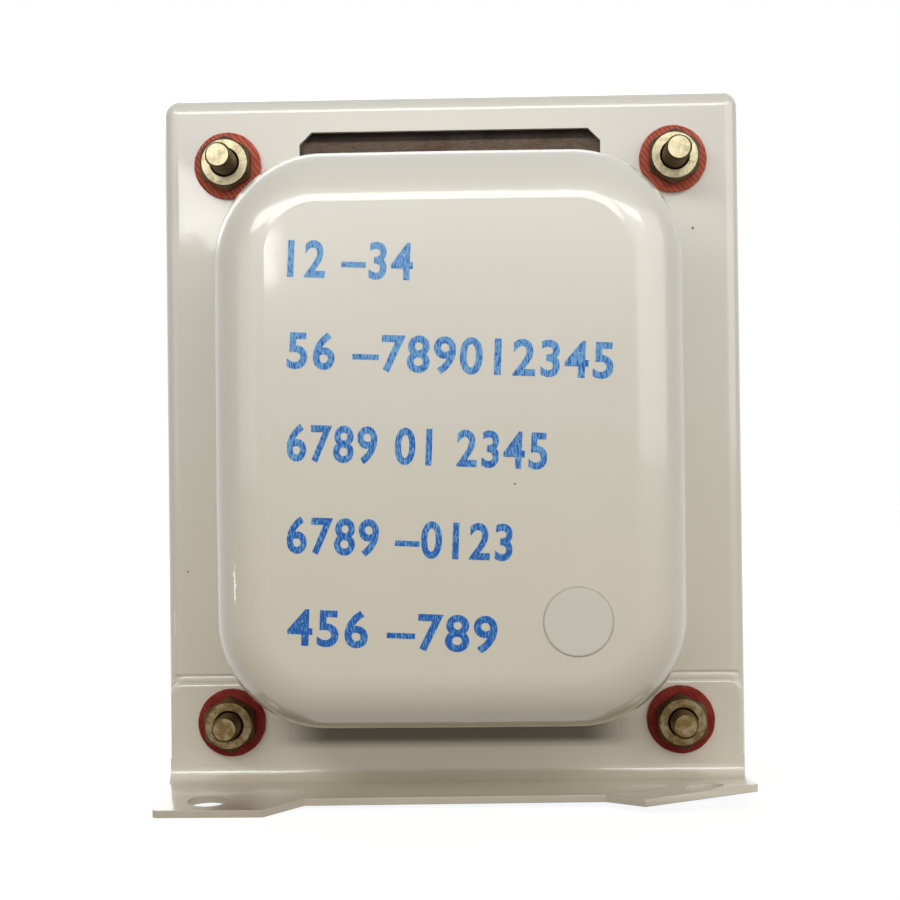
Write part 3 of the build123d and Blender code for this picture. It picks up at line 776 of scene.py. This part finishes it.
def printing_ink(look):
    """Blue screen ink with thin slanting streaks where it hardly took."""
    finish = Finish("blue_ink", Specular_IOR_Level=0.4)
    streaks = finish.noise(0.32, detail=3.0, spot=finish.stretched(2.4, 1.0, 0.6, math.radians(35)))
    higher = finish.part_of(2).between(dome_low, dome_high)
    thin = (streaks + 0.16 * higher + 0.12 * finish.noise(3.0)).between(0.55, 0.74)
    base = finish.mix(thin, look.ink, look.ink_thin)
    return finish.complete(Base_Color=base, Roughness=0.3 + 0.2 * streaks,
                           Normal=finish.bump(streaks, 0.004))


def sticker_film(look):
    """A pale film, darker along its edge."""
    finish = Finish("pale_film", Coat_Weight=0.3)
    cloud = finish.noise(1.4, detail=4.0)
    across = finish.node("ShaderNodeVectorMath", {"operation": "DISTANCE"},
                         [finish.spot, sticker_middle], "Value")
    edge = across.between(sticker_radius * 0.93, sticker_radius)
    base = finish.mix(edge * (0.35 + 0.5 * cloud), look.film, look.edge)
    return finish.complete(Base_Color=base, Roughness=0.3 + 0.05 * cloud,
                           Normal=finish.bump(cloud, 0.001))


def moulded(name, colour_value, grain_size=0.25, grain_depth=0.012, rough=0.42):
    """Moulded plastic or rubber, with a fine spark-eroded grain and rounded edges."""
    finish = Finish(name)
    grain = finish.noise(grain_size, detail=3.0)
    cloud = finish.noise(5.0, detail=3.0)
    dusty = tuple(0.8 * value + 0.03 for value in colour_value)
    base = finish.mix(cloud.between(0.35, 0.75) * 0.5, colour_value, dusty)
    return finish.complete(Base_Color=base, Roughness=rough + 0.15 * cloud,
                           Normal=finish.bump(grain, grain_depth, finish.soft_edges(0.12)))


def strip_brass(look):
    """Rolled brass strip with fine lines along it."""
    finish = Finish("contact_brass", Metallic=1.0)
    lines = finish.noise(0.6, detail=4.0, spot=finish.stretched(1.0, 0.08, 1.0))
    stain = finish.noise(1.8, detail=4.0)
    base = finish.mix(stain.between(0.45, 0.7) * 0.5, look.brass, linear(128, 92, 48))
    return finish.complete(Base_Color=base, Roughness=0.22 + 0.25 * lines,
                           Normal=finish.bump(lines, 0.008))


def wound_wire(look):
    """Varnished copper wire laid side by side along X, with painted shade between the turns."""
    sizes = in_millimetres(look)
    finish = Finish("enamelled_wire", Metallic=0.6, Coat_Weight=0.6)
    turns = finish.bands(sizes.wire_size, 0.15)
    cloud = finish.noise(3.0, detail=3.0)
    # Painted shade in the grooves between the turns
    base = finish.layers(look.wire, (1.0 - turns.between(0.1, 0.6), linear(70, 30, 14)),
                         (cloud.between(0.5, 0.8) * 0.4, linear(196, 120, 62)))
    return finish.complete(Base_Color=base, Roughness=0.25 + 0.2 * cloud,
                           Normal=finish.bump(turns, 0.15))


def coil_tape(look):
    """Overlapping turns of polyester tape with fine wrinkles."""
    sizes = in_millimetres(look)
    finish = Finish("coil_tape")
    laps = finish.bands(sizes.tape_width, 0.3)
    wrinkles = finish.noise(1.2, detail=4.0, spot=finish.stretched(1.0, 0.3, 0.3))
    base = finish.layers(look.tape, (laps.between(0.85, 0.98) * 0.5, linear(168, 136, 60)),
                         (wrinkles.between(0.5, 0.8) * 0.3, linear(226, 204, 130)))
    return finish.complete(Base_Color=base, Roughness=0.22 + 0.15 * wrinkles,
                           Normal=finish.bump(laps * 0.5 + wrinkles * 0.5, 0.06))


def fuse_metal(look):
    """A drawn can, a little scuffed."""
    finish = Finish("fuse_case", Metallic=1.0)
    scuffs = finish.noise(0.7, detail=4.0, spot=finish.stretched(0.3, 1.0, 1.0))
    base = finish.mix(scuffs.between(0.5, 0.75) * 0.5, look.case, linear(140, 136, 128))
    return finish.complete(Base_Color=base, Roughness=0.28 + 0.2 * scuffs,
                           Normal=finish.bump(scuffs, 0.01))


# Pieces


class TRANSFORMER_OT_covers(bpy.types.Operator):
    """Enamel both covers, and press the front feet out of true"""

    bl_idname = "transformer.covers"
    bl_label = "Covers"

    def execute(self, context):
        look = context.scene.transformer_cover
        finish = enamel(look)
        dress(finish, "rear_cover")
        shell = copy_of(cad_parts["front_cover"], "front_cover_shell")
        washer = in_millimetres(context.scene.transformer_hardware).washer_height
        shape_feet(shell, in_millimetres(look), washers_low.y + washer)
        set_in_place(shell, finish, ["front_cover"])
        return {"FINISHED"}


def shape_feet(shell, sizes, panel_face):
    """Splays the front feet, and twists up the right one's outer corner."""
    half_width = cover_high.x - sizes.foot_start
    for vertex in shell.data.vertices:
        spot = vertex.co / MM
        if spot.z > sizes.corner_height + NEAR or spot.y > panel_face + sizes.sheet + NEAR:
            continue
        forward = max(0.0, panel_face - spot.y) / sizes.foot_reach
        out = max(0.0, spot.x - sizes.foot_start) / half_width
        vertex.co.z += (sizes.foot_splay * (1 - forward) + sizes.foot_twist * out * forward) * MM


class TRANSFORMER_OT_core(bpy.types.Operator):
    """Build the core from its single E and I sheets"""

    bl_idname = "transformer.core"
    bl_label = "Core sheets"

    def execute(self, context):
        look = context.scene.transformer_core
        sizes = in_millimetres(look)
        finish = core_steel(look)
        random.seed(11)
        for kind, sheet, sides in (("e", model_e_sheet(sizes), ("open_right", "open_left")),
                                   ("i", model_i_sheet(sizes), ("right", "left"))):
            for turned, side in enumerate(sides):
                sheets = lay_sheets(sheet, f"{kind}_sheets_{side}", turned, sizes, look.packets)
                finish_piece(sheets, finish, [f"{kind}_laminations_{side}"],
                             smooth_angle=30)
            bpy.data.objects.remove(sheet)
        return {"FINISHED"}


def punch_holes(sheet, sizes):
    """Punches the bolt holes that fall inside a sheet."""
    low, high = mesh_box(sheet)
    for x, z, _is_low in bolt_places():
        if low.x < x < high.x:
            punch = add_rod("punch", sizes.hole / 2, -2 * sizes.sheet, 2 * sizes.sheet, 24)
            place(punch, (x, 0, z), TO_FRONT)
            combine(sheet, punch, "DIFFERENCE")


def model_e_sheet(sizes):
    """One E sheet about y = 0, with its back on the left and its legs to the right."""
    half = (sizes.sheet - sizes.gap) / 2
    right = core_high.x - leg_width
    sheet = add_block("e_sheet", Vector((core_low.x, -half, core_low.z)),
                      Vector((right, half, core_high.z)))
    for window_low in (core_low.z + leg_width, core_high.z - 2 * leg_width):
        window = add_block("window", Vector((core_low.x + leg_width, -sizes.sheet, window_low)),
                           Vector((right + leg_width, sizes.sheet, window_low + leg_width)))
        combine(sheet, window, "DIFFERENCE")
    punch_holes(sheet, sizes)
    round_edges(sheet, sizes.burr, segments=1, above=60)
    return sheet


def model_i_sheet(sizes):
    """One I sheet about y = 0, on the right."""
    low, high = node_box("i_laminations_right")
    half = (sizes.sheet - sizes.gap) / 2
    sheet = add_block("i_sheet", Vector((low.x, -half, low.z)), Vector((high.x, half, high.z)))
    punch_holes(sheet, sizes)
    round_edges(sheet, sizes.burr, segments=1, above=60)
    return sheet


def lay_sheets(sheet, name, turned, sizes, packets):
    """Lays copies of a sheet in every second packet. The turned ones face the other way."""
    packet = (core_high.y - core_low.y) / packets
    per_packet = round(packet / sizes.sheet)
    laid = []
    for number in range(turned, packets, 2):
        for layer in range(per_packet):
            y = core_low.y + number * packet + (layer + 0.5) * packet / per_packet
            slip_x = random.uniform(-sizes.slip, 0) if turned else random.uniform(0, sizes.slip)
            slip_z = random.uniform(-sizes.slip, sizes.slip) / 2
            twin = copy_of(sheet, f"{name}_{number}_{layer}")
            place(twin, (slip_x, y, slip_z), (0, 0, math.pi * turned))
            laid.append(twin)
    return join(laid, name)


class TRANSFORMER_OT_bolts(bpy.types.Operator):
    """Model the clamp bolts with their threads and cross recesses"""

    bl_idname = "transformer.bolts"
    bl_label = "Clamp bolts"

    def execute(self, context):
        look = context.scene.transformer_hardware
        sizes = in_millimetres(look)
        front = bolts_low.y
        bolts = copies_on_axes(model_bolt(sizes), "threaded_bolts", front, front + sizes.panel_rise,
                               BOLT_TURNS)
        finish_piece(bolts, plated_steel(look), ["clamp_bolts"])
        return {"FINISHED"}


def model_bolt(sizes):
    """A bolt along Z with its tip at z = 0 and its head below."""
    total = bolts_high.y - sizes.panel_rise - bolts_low.y
    seat = -(total - sizes.head_height)
    bottom = seat - sizes.head_height
    shank_top = sizes.pitch - sizes.thread
    thread = model_thread(sizes)
    radius = sizes.bolt / 2
    head = sizes.head / 2
    chamfer = sizes.head_chamfer
    soft = sizes.head_round
    dome = rounded_corner(head - soft, bottom + soft, soft, 0, -90)
    outline = [(0, shank_top), (radius, shank_top), (radius, seat), (head - chamfer, seat),
               (head, seat - chamfer), *dome, (0, bottom)]
    body = turn_profile("bolt_body", outline)
    arm_end = Vector((sizes.recess_length / 2, sizes.recess_width / 2, 0))
    for arm in range(2):
        recess = add_block("recess", Vector((0, 0, bottom - 1)) - arm_end,
                           Vector((0, 0, bottom + sizes.recess_depth)) + arm_end)
        narrow_inner_end(recess)
        place(recess, (0, 0, 0), (0, 0, math.pi / 2 * arm))
        combine(body, recess, "DIFFERENCE")
    return join([body, thread], "bolt")


def narrow_inner_end(recess):
    """Tapers a recess arm towards its bottom."""
    with editing(recess):
        mesh = bmesh.from_edit_mesh(recess.data)
        for face in mesh.faces:
            face.select_set(face.normal.z > 0.5)
        bmesh.update_edit_mesh(recess.data)
        bpy.ops.transform.resize(value=RECESS_TAPER)


def model_thread(sizes):
    """A screwed rod along Z, cut flat at both ends and chamfered at its tip."""
    outer = sizes.bolt / 2
    inner = sizes.root / 2
    pitch = sizes.pitch
    turns = round(sizes.thread / pitch) + 2
    tooth = [(inner, 0), (outer, FLANK_END * pitch), (outer, CREST_END * pitch),
             (inner, ROOT_START * pitch), (inner, pitch)]
    thread = draw_profile("thread", tooth)
    apply_modifier(thread, "SCREW", axis="Z", angle=math.tau, screw_offset=pitch, iterations=turns,
                   steps=20, render_steps=20, use_merge_vertices=True, merge_threshold=SEAM)
    place(thread, (0, 0, -sizes.thread - pitch))
    trim(thread, 0, True)
    trim(thread, -sizes.thread, False)
    face_outwards(thread)
    tip = sizes.tip / 2
    for vertex in thread.data.vertices:
        around = math.hypot(vertex.co.x, vertex.co.y)
        most = tip - vertex.co.z
        if around > most:
            draw_in(vertex, most / around)
    return thread


def trim(piece, level, keeps_below):
    """Cuts a piece flat at a level, and closes the cut."""
    with editing(piece):
        bpy.ops.mesh.bisect(plane_co=(0, 0, level), plane_no=(0, 0, 1), use_fill=True,
                            clear_outer=keeps_below, clear_inner=not keeps_below, threshold=0.0001)


class TRANSFORMER_OT_nuts(bpy.types.Operator):
    """Model the chamfered hexagon nuts"""

    bl_idname = "transformer.nuts"
    bl_label = "Nuts"

    def execute(self, context):
        look = context.scene.transformer_hardware
        sizes = in_millimetres(look)
        middle = nuts_low.y + sizes.nut_height / 2
        nuts = copies_on_axes(model_nut(sizes), "chamfered_nuts", middle + sizes.panel_rise, middle,
                              NUT_TURNS)
        finish_piece(nuts, plated_steel(look), ["front_nuts"], smooth_angle=28)
        return {"FINISHED"}


def model_nut(sizes):
    """A nut about the origin, with its axis on Z and a corner on X."""
    half = sizes.nut_height / 2
    corner = sizes.flats / math.sqrt(3)
    ring = sizes.nut_ring / 2
    most = sizes.nut_corner / 2
    nut = add_primitive("cylinder", "nut", vertices=6, radius=corner, depth=sizes.nut_height,
                        rotation=(0, 0, math.pi / 6))
    bpy.ops.object.transform_apply()
    barrel = turn_profile("barrel", [
        (0, -half), (ring, -half), (most, -half + sizes.nut_chamfer),
        (most, half - sizes.nut_chamfer), (ring, half), (0, half)], 72)
    combine(nut, barrel, "INTERSECT")
    bore = sizes.bolt / 2 + sizes.nut_clearance
    mouth = sizes.nut_mouth / 2
    depth = mouth - bore
    drill = turn_profile("drill", [
        (0, -half - 1), (mouth + 1, -half - 1), (bore, -half + depth), (bore, half - depth),
        (mouth + 1, half + 1), (0, half + 1)])
    combine(nut, drill, "DIFFERENCE")
    round_edges(nut, sizes.nut_edge, segments=2, above=25)
    return nut


class TRANSFORMER_OT_washers(bpy.types.Operator):
    """Model the fibre washers outside the covers, with their frayed rims"""

    bl_idname = "transformer.washers"
    bl_label = "Fibre washers"

    def execute(self, context):
        look = context.scene.transformer_hardware
        sizes = in_millimetres(look)
        finish = fibre(look)
        sides = (
            ("front_fibre", washers_low.y, 1, "front_fibre_washers"),
            ("rear_fibre", rear_washers_high.y - sizes.washer_height, -1, "rear_fibre_washers"),
        )
        for name, outermost, inwards, node in sides:
            placed = []
            for index, (x, z, is_low) in enumerate(bolt_places()):
                back = 0 if is_low else inwards * sizes.panel_rise
                washer = model_washer(sizes, index + 4 * (inwards < 0))
                place(washer, (x, outermost + back + sizes.washer_height, z), TO_FRONT)
                placed.append(washer)
            finish_piece(join(placed, name), finish, [node])
        dress(finish, "inner_fibre_washers", "bolt_sleeves")
        return {"FINISHED"}


def model_washer(sizes, seed):
    """A punched washer on z = 0, with soft edges and an uneven rim."""
    outer = sizes.washer / 2
    inner = sizes.washer_bore / 2
    edge = sizes.washer_edge
    top = sizes.washer_height
    lift = 0.05
    bevel = 0.08
    outline = [
        (inner, lift), *rounded_corner(outer - edge / 2, edge / 2, edge / 2, -90, 0, 2),
        *rounded_corner(outer - edge, top - edge, edge, 0, 90, 3), (inner + bevel, top),
        (inner, top - bevel), (inner, lift)]
    washer = turn_profile("washer", outline, ROUND_STEPS)
    for vertex in washer.data.vertices:
        around = math.hypot(vertex.co.x, vertex.co.y)
        if around > outer - 2 * edge:
            spot = Vector((vertex.co.x * FRAY_COARSE, vertex.co.y * FRAY_COARSE,
                           FRAY_APART * seed + vertex.co.z))
            lumps = noise.noise(spot) + 0.5 * noise.noise(spot * FRAY_FINE)
            draw_in(vertex, 1 - sizes.washer_fray * (0.5 + 0.5 * lumps) / outer)
    return washer


class TRANSFORMER_OT_print(bpy.types.Operator):
    """Lay rows of running digits on the front dome"""

    bl_idname = "transformer.print"
    bl_label = "Print"

    def execute(self, context):
        look = context.scene.transformer_print
        sizes = in_millimetres(look)
        digit = 0
        laid = []
        for row, (layout, width) in enumerate(ROWS):
            text = ""
            for sign in layout:
                if sign == "#":
                    digit = (digit + 1) % 10
                    sign = str(digit)
                text += sign
            laid.append(model_row(text, row, width, look, sizes))
        printed = join(laid, "printed_digits")
        lay_on_crown(printed, sizes.crown)
        finish_piece(printed, printing_ink(look), [], smooth_angle=30)
        return {"FINISHED"}


def model_row(text, row, width, look, sizes):
    """One row of digits as a flat mesh across X and Z, with the ink's thickness along Y."""
    deselect_all()
    bpy.ops.object.text_add()
    writing = bpy.context.object
    writing.data.body = text
    writing.data.offset = look.weight
    writing.data.space_character = look.spacing
    writing.data.extrude = 0.5  # a thickness of 1, which is then scaled to the ink's
    writing.data.resolution_u = 6
    bpy.ops.object.convert(target="MESH")
    low, high = mesh_box(writing)
    grow = Matrix.Diagonal((width / (high.x - low.x), sizes.digit_height / (high.y - low.y),
                            sizes.film, 1))
    writing.data.transform(grow @ Matrix.Translation((-low.x, -high.y, 0)))
    down = row * sizes.row_pitch
    place(writing, (-sizes.left - down * look.lean, 0, core_middle_z + sizes.top - down),
          (math.pi / 2, look.tilt, 0))
    face_outwards(writing)
    return writing


def crown_depth(x, z, radius):
    """Where the front dome's face is, along Y."""
    up = z - core_middle_z
    return dome_front + radius - math.sqrt(radius ** 2 - x ** 2 - up ** 2)


def lay_on_crown(piece, radius):
    """Moves a flat piece onto the front dome, with its back just clear of it."""
    back = mesh_box(piece)[1].y
    for vertex in piece.data.vertices:
        vertex.co.y += crown_depth(vertex.co.x, vertex.co.z, radius) - back - CLEAR


class TRANSFORMER_OT_sticker(bpy.types.Operator):
    """Model the round sticker on the front dome"""

    bl_idname = "transformer.sticker"
    bl_label = "Sticker"

    def execute(self, context):
        look = context.scene.transformer_sticker
        sizes = in_millimetres(look)
        crown = in_millimetres(context.scene.transformer_print).crown
        thick = sizes.thickness
        edge = sizes.edge_radius
        rings = [share * sticker_radius for share in (0, 0.25, 0.5, 0.75, 0.9)]
        outline = [(ring, thick) for ring in rings]
        outline += rounded_corner(sticker_radius - edge, thick - edge, edge, 90, 0, 3)
        outline += [(ring, 0) for ring in (sticker_radius, *reversed(rings))]
        film = turn_profile("film", outline, ROUND_STEPS)
        place(film, (sticker_middle.x, 0, sticker_middle.z), TO_FRONT)
        lay_on_crown(film, crown)
        film.name = "pale_round_sticker"
        finish_piece(film, sticker_film(look), ["round_sticker"])
        return {"FINISHED"}


class TRANSFORMER_OT_outlet(bpy.types.Operator):
    """Finish the outlet, its contacts and the cord's grommet"""

    bl_idname = "transformer.outlet"
    bl_label = "Outlet and grommet"

    def execute(self, context):
        look = context.scene.transformer_outlet
        dress(moulded("outlet_plastic", look.plastic), "outlet_body")
        dress(moulded("outlet_cap_plastic", look.cap), "outlet_cap")
        dress(strip_brass(look), "outlet_contact_left", "outlet_contact_right")
        rubber = moulded("grommet_rubber", look.rubber, grain_size=0.5, grain_depth=0.02, rough=0.6)
        dress(rubber, "cord_grommet")
        return {"FINISHED"}


class TRANSFORMER_OT_coil(bpy.types.Operator):
    """Finish the bobbin, the windings and their tape"""

    bl_idname = "transformer.coil"
    bl_label = "Coil"

    def execute(self, context):
        look = context.scene.transformer_coil
        dress(moulded("bobbin_nylon", look.nylon), "bobbin")
        dress(wound_wire(look), "primary_winding", "secondary_winding")
        dress(coil_tape(look), "interwinding_tape", "outer_tape")
        return {"FINISHED"}


class TRANSFORMER_OT_leads(bpy.types.Operator):
    """Finish the leads, the thermal fuse and the splices"""

    bl_idname = "transformer.leads"
    bl_label = "Leads and fuse"

    def execute(self, context):
        look = context.scene.transformer_leads
        cover = {"grain_size": 0.8, "grain_depth": 0.01, "rough": 0.38}
        dress(moulded("black_insulation", look.black, **cover),
              "coil_to_fuse_lead", "fuse_to_splice_lead", "outlet_lead_left")
        dress(moulded("white_insulation", look.white, **cover),
              "coil_to_splice_lead", "outlet_lead_right")
        dress(fuse_metal(look), "thermal_fuse")
        nylon = moulded("splice_nylon", look.splice, grain_size=0.4, grain_depth=0.01, rough=0.35)
        dress(nylon, "crimp_splices")
        return {"FINISHED"}


class TRANSFORMER_OT_stage(bpy.types.Operator):
    """Set up the floor, the room light, the lamps and the camera"""

    bl_idname = "transformer.stage"
    bl_label = "Stage"

    def execute(self, context):
        look = context.scene.transformer_stage
        sizes = in_millimetres(look)
        lay_floor(look, sizes)
        light_room(look)
        for name in LAMPS:
            hang_lamp(name, getattr(look, f"{name}_power"))
        data = bpy.data.cameras.new("camera")
        data.lens = look.camera_lens
        camera = bpy.data.objects.new("camera", data)
        context.scene.collection.objects.link(camera)
        turn = Matrix.Rotation(look.camera_yaw, 4, "Z") @ Matrix.Rotation(look.camera_pitch, 4, "X")
        turn = turn @ Matrix.Rotation(look.camera_roll, 4, "Z")
        spot = Vector((sizes.camera_x, sizes.camera_y, sizes.camera_z)) * MM
        camera.matrix_world = Matrix.Translation(spot) @ turn
        context.scene.camera = camera
        context.scene.view_settings.view_transform = "Standard"
        return {"FINISHED"}


def ray_seen(nodes):
    """1 for what the camera sees, straight or in a reflection or through glass."""
    camera, glossy, through = [nodes.node("ShaderNodeLightPath", output=f"Is {kind} Ray")
                               for kind in ("Camera", "Glossy", "Transmission")]
    return camera.math("MAXIMUM", glossy).math("MAXIMUM", through)


def lay_floor(look, sizes):
    """A pale floor that shows white, apart from the shadow on it."""
    floor = add_primitive("plane", "floor", size=sizes.floor_size * MM)
    finish = Finish("floor")
    base = finish.mix(finish.noise(40.0) * 0.04, look.floor, linear(205, 200, 190))
    finish.feed(Base_Color=base, Roughness=0.9)
    finish.feed(Emission_Color=FLOOR_GLOW, Emission_Strength=ray_seen(finish) * FLOOR_GLOW_LEVEL)
    floor.data.materials.append(finish.material)


def light_room(look):
    """Soft light from all round, which shows as plain white."""
    world = bpy.data.worlds.new("room")
    bpy.context.scene.world = world
    world.use_nodes = True
    nodes = Nodes(world.node_tree)
    light = nodes.node("ShaderNodeBackground", {},
                       {"Color": ROOM_COLOUR, "Strength": look.world_level})
    white = nodes.node("ShaderNodeBackground", {}, {"Color": WHITE, "Strength": 1.0})
    shown = nodes.node("ShaderNodeMixShader", {}, [ray_seen(nodes), light, white])
    nodes.end_in("ShaderNodeOutputWorld", shown)


def hang_lamp(name, power):
    """A box lamp that looks at its aim."""
    aim_across, aim_up, rise, side, distance, width, height = LAMPS[name]
    data = bpy.data.lights.new(f"{name}_box", "AREA")
    data.shape = "RECTANGLE"
    data.size = width * MM
    data.size_y = height * MM
    data.energy = power
    data.color = LAMP_COLOUR
    lamp = bpy.data.objects.new(f"{name}_box", data)
    lamp.visible_camera = False
    bpy.context.scene.collection.objects.link(lamp)
    up = math.radians(rise)
    across = math.radians(side)
    away = Vector((math.sin(across) * math.cos(up), -math.cos(across) * math.cos(up), math.sin(up)))
    aim = Vector((aim_across, cover_low.y, core_middle_z + aim_up))
    lamp.location = (aim + away * distance) * MM
    lamp.rotation_euler = away.to_track_quat("Z", "Y").to_euler()


# Panel and registration


class TRANSFORMER_PT_panel(bpy.types.Panel):
    """The steps that dress the transformer"""

    bl_idname = "TRANSFORMER_PT_panel"
    bl_label = "Transformer"
    bl_space_type = "VIEW_3D"
    bl_region_type = "UI"
    bl_category = "Transformer"

    def draw(self, context):
        for operator in OPERATORS:
            self.layout.operator(operator.bl_idname)
        for name, _group in GROUPS:
            box = self.layout.box()
            box.label(text=name)
            group = getattr(context.scene, name)
            for item in group.bl_rna.properties:
                if item.identifier not in ("rna_type", "name"):
                    box.prop(group, item.identifier)


GROUPS = (
    ("transformer_cover", CoverLook),
    ("transformer_core", CoreLook),
    ("transformer_hardware", HardwareLook),
    ("transformer_print", PrintLook),
    ("transformer_sticker", StickerLook),
    ("transformer_outlet", OutletLook),
    ("transformer_coil", CoilLook),
    ("transformer_leads", LeadLook),
    ("transformer_stage", StageLook),
)

OPERATORS = (
    TRANSFORMER_OT_covers,
    TRANSFORMER_OT_core,
    TRANSFORMER_OT_bolts,
    TRANSFORMER_OT_nuts,
    TRANSFORMER_OT_washers,
    TRANSFORMER_OT_print,
    TRANSFORMER_OT_sticker,
    TRANSFORMER_OT_outlet,
    TRANSFORMER_OT_coil,
    TRANSFORMER_OT_leads,
    TRANSFORMER_OT_stage,
)


def register():
    for name, group in GROUPS:
        bpy.utils.register_class(group)
        setattr(bpy.types.Scene, name, bpy.props.PointerProperty(type=group))
    for operator in OPERATORS:
        bpy.utils.register_class(operator)
    bpy.utils.register_class(TRANSFORMER_PT_panel)


def unregister():
    bpy.utils.unregister_class(TRANSFORMER_PT_panel)
    for operator in reversed(OPERATORS):
        bpy.utils.unregister_class(operator)
    for name, group in reversed(GROUPS):
        delattr(bpy.types.Scene, name)
        bpy.utils.unregister_class(group)


def main():
    register()
    for step in ("covers", "core", "bolts", "nuts", "washers", "print", "sticker", "outlet", "coil",
                 "leads", "stage"):
        getattr(bpy.ops.transformer, step)()


if __name__ == "__main__":
    main()
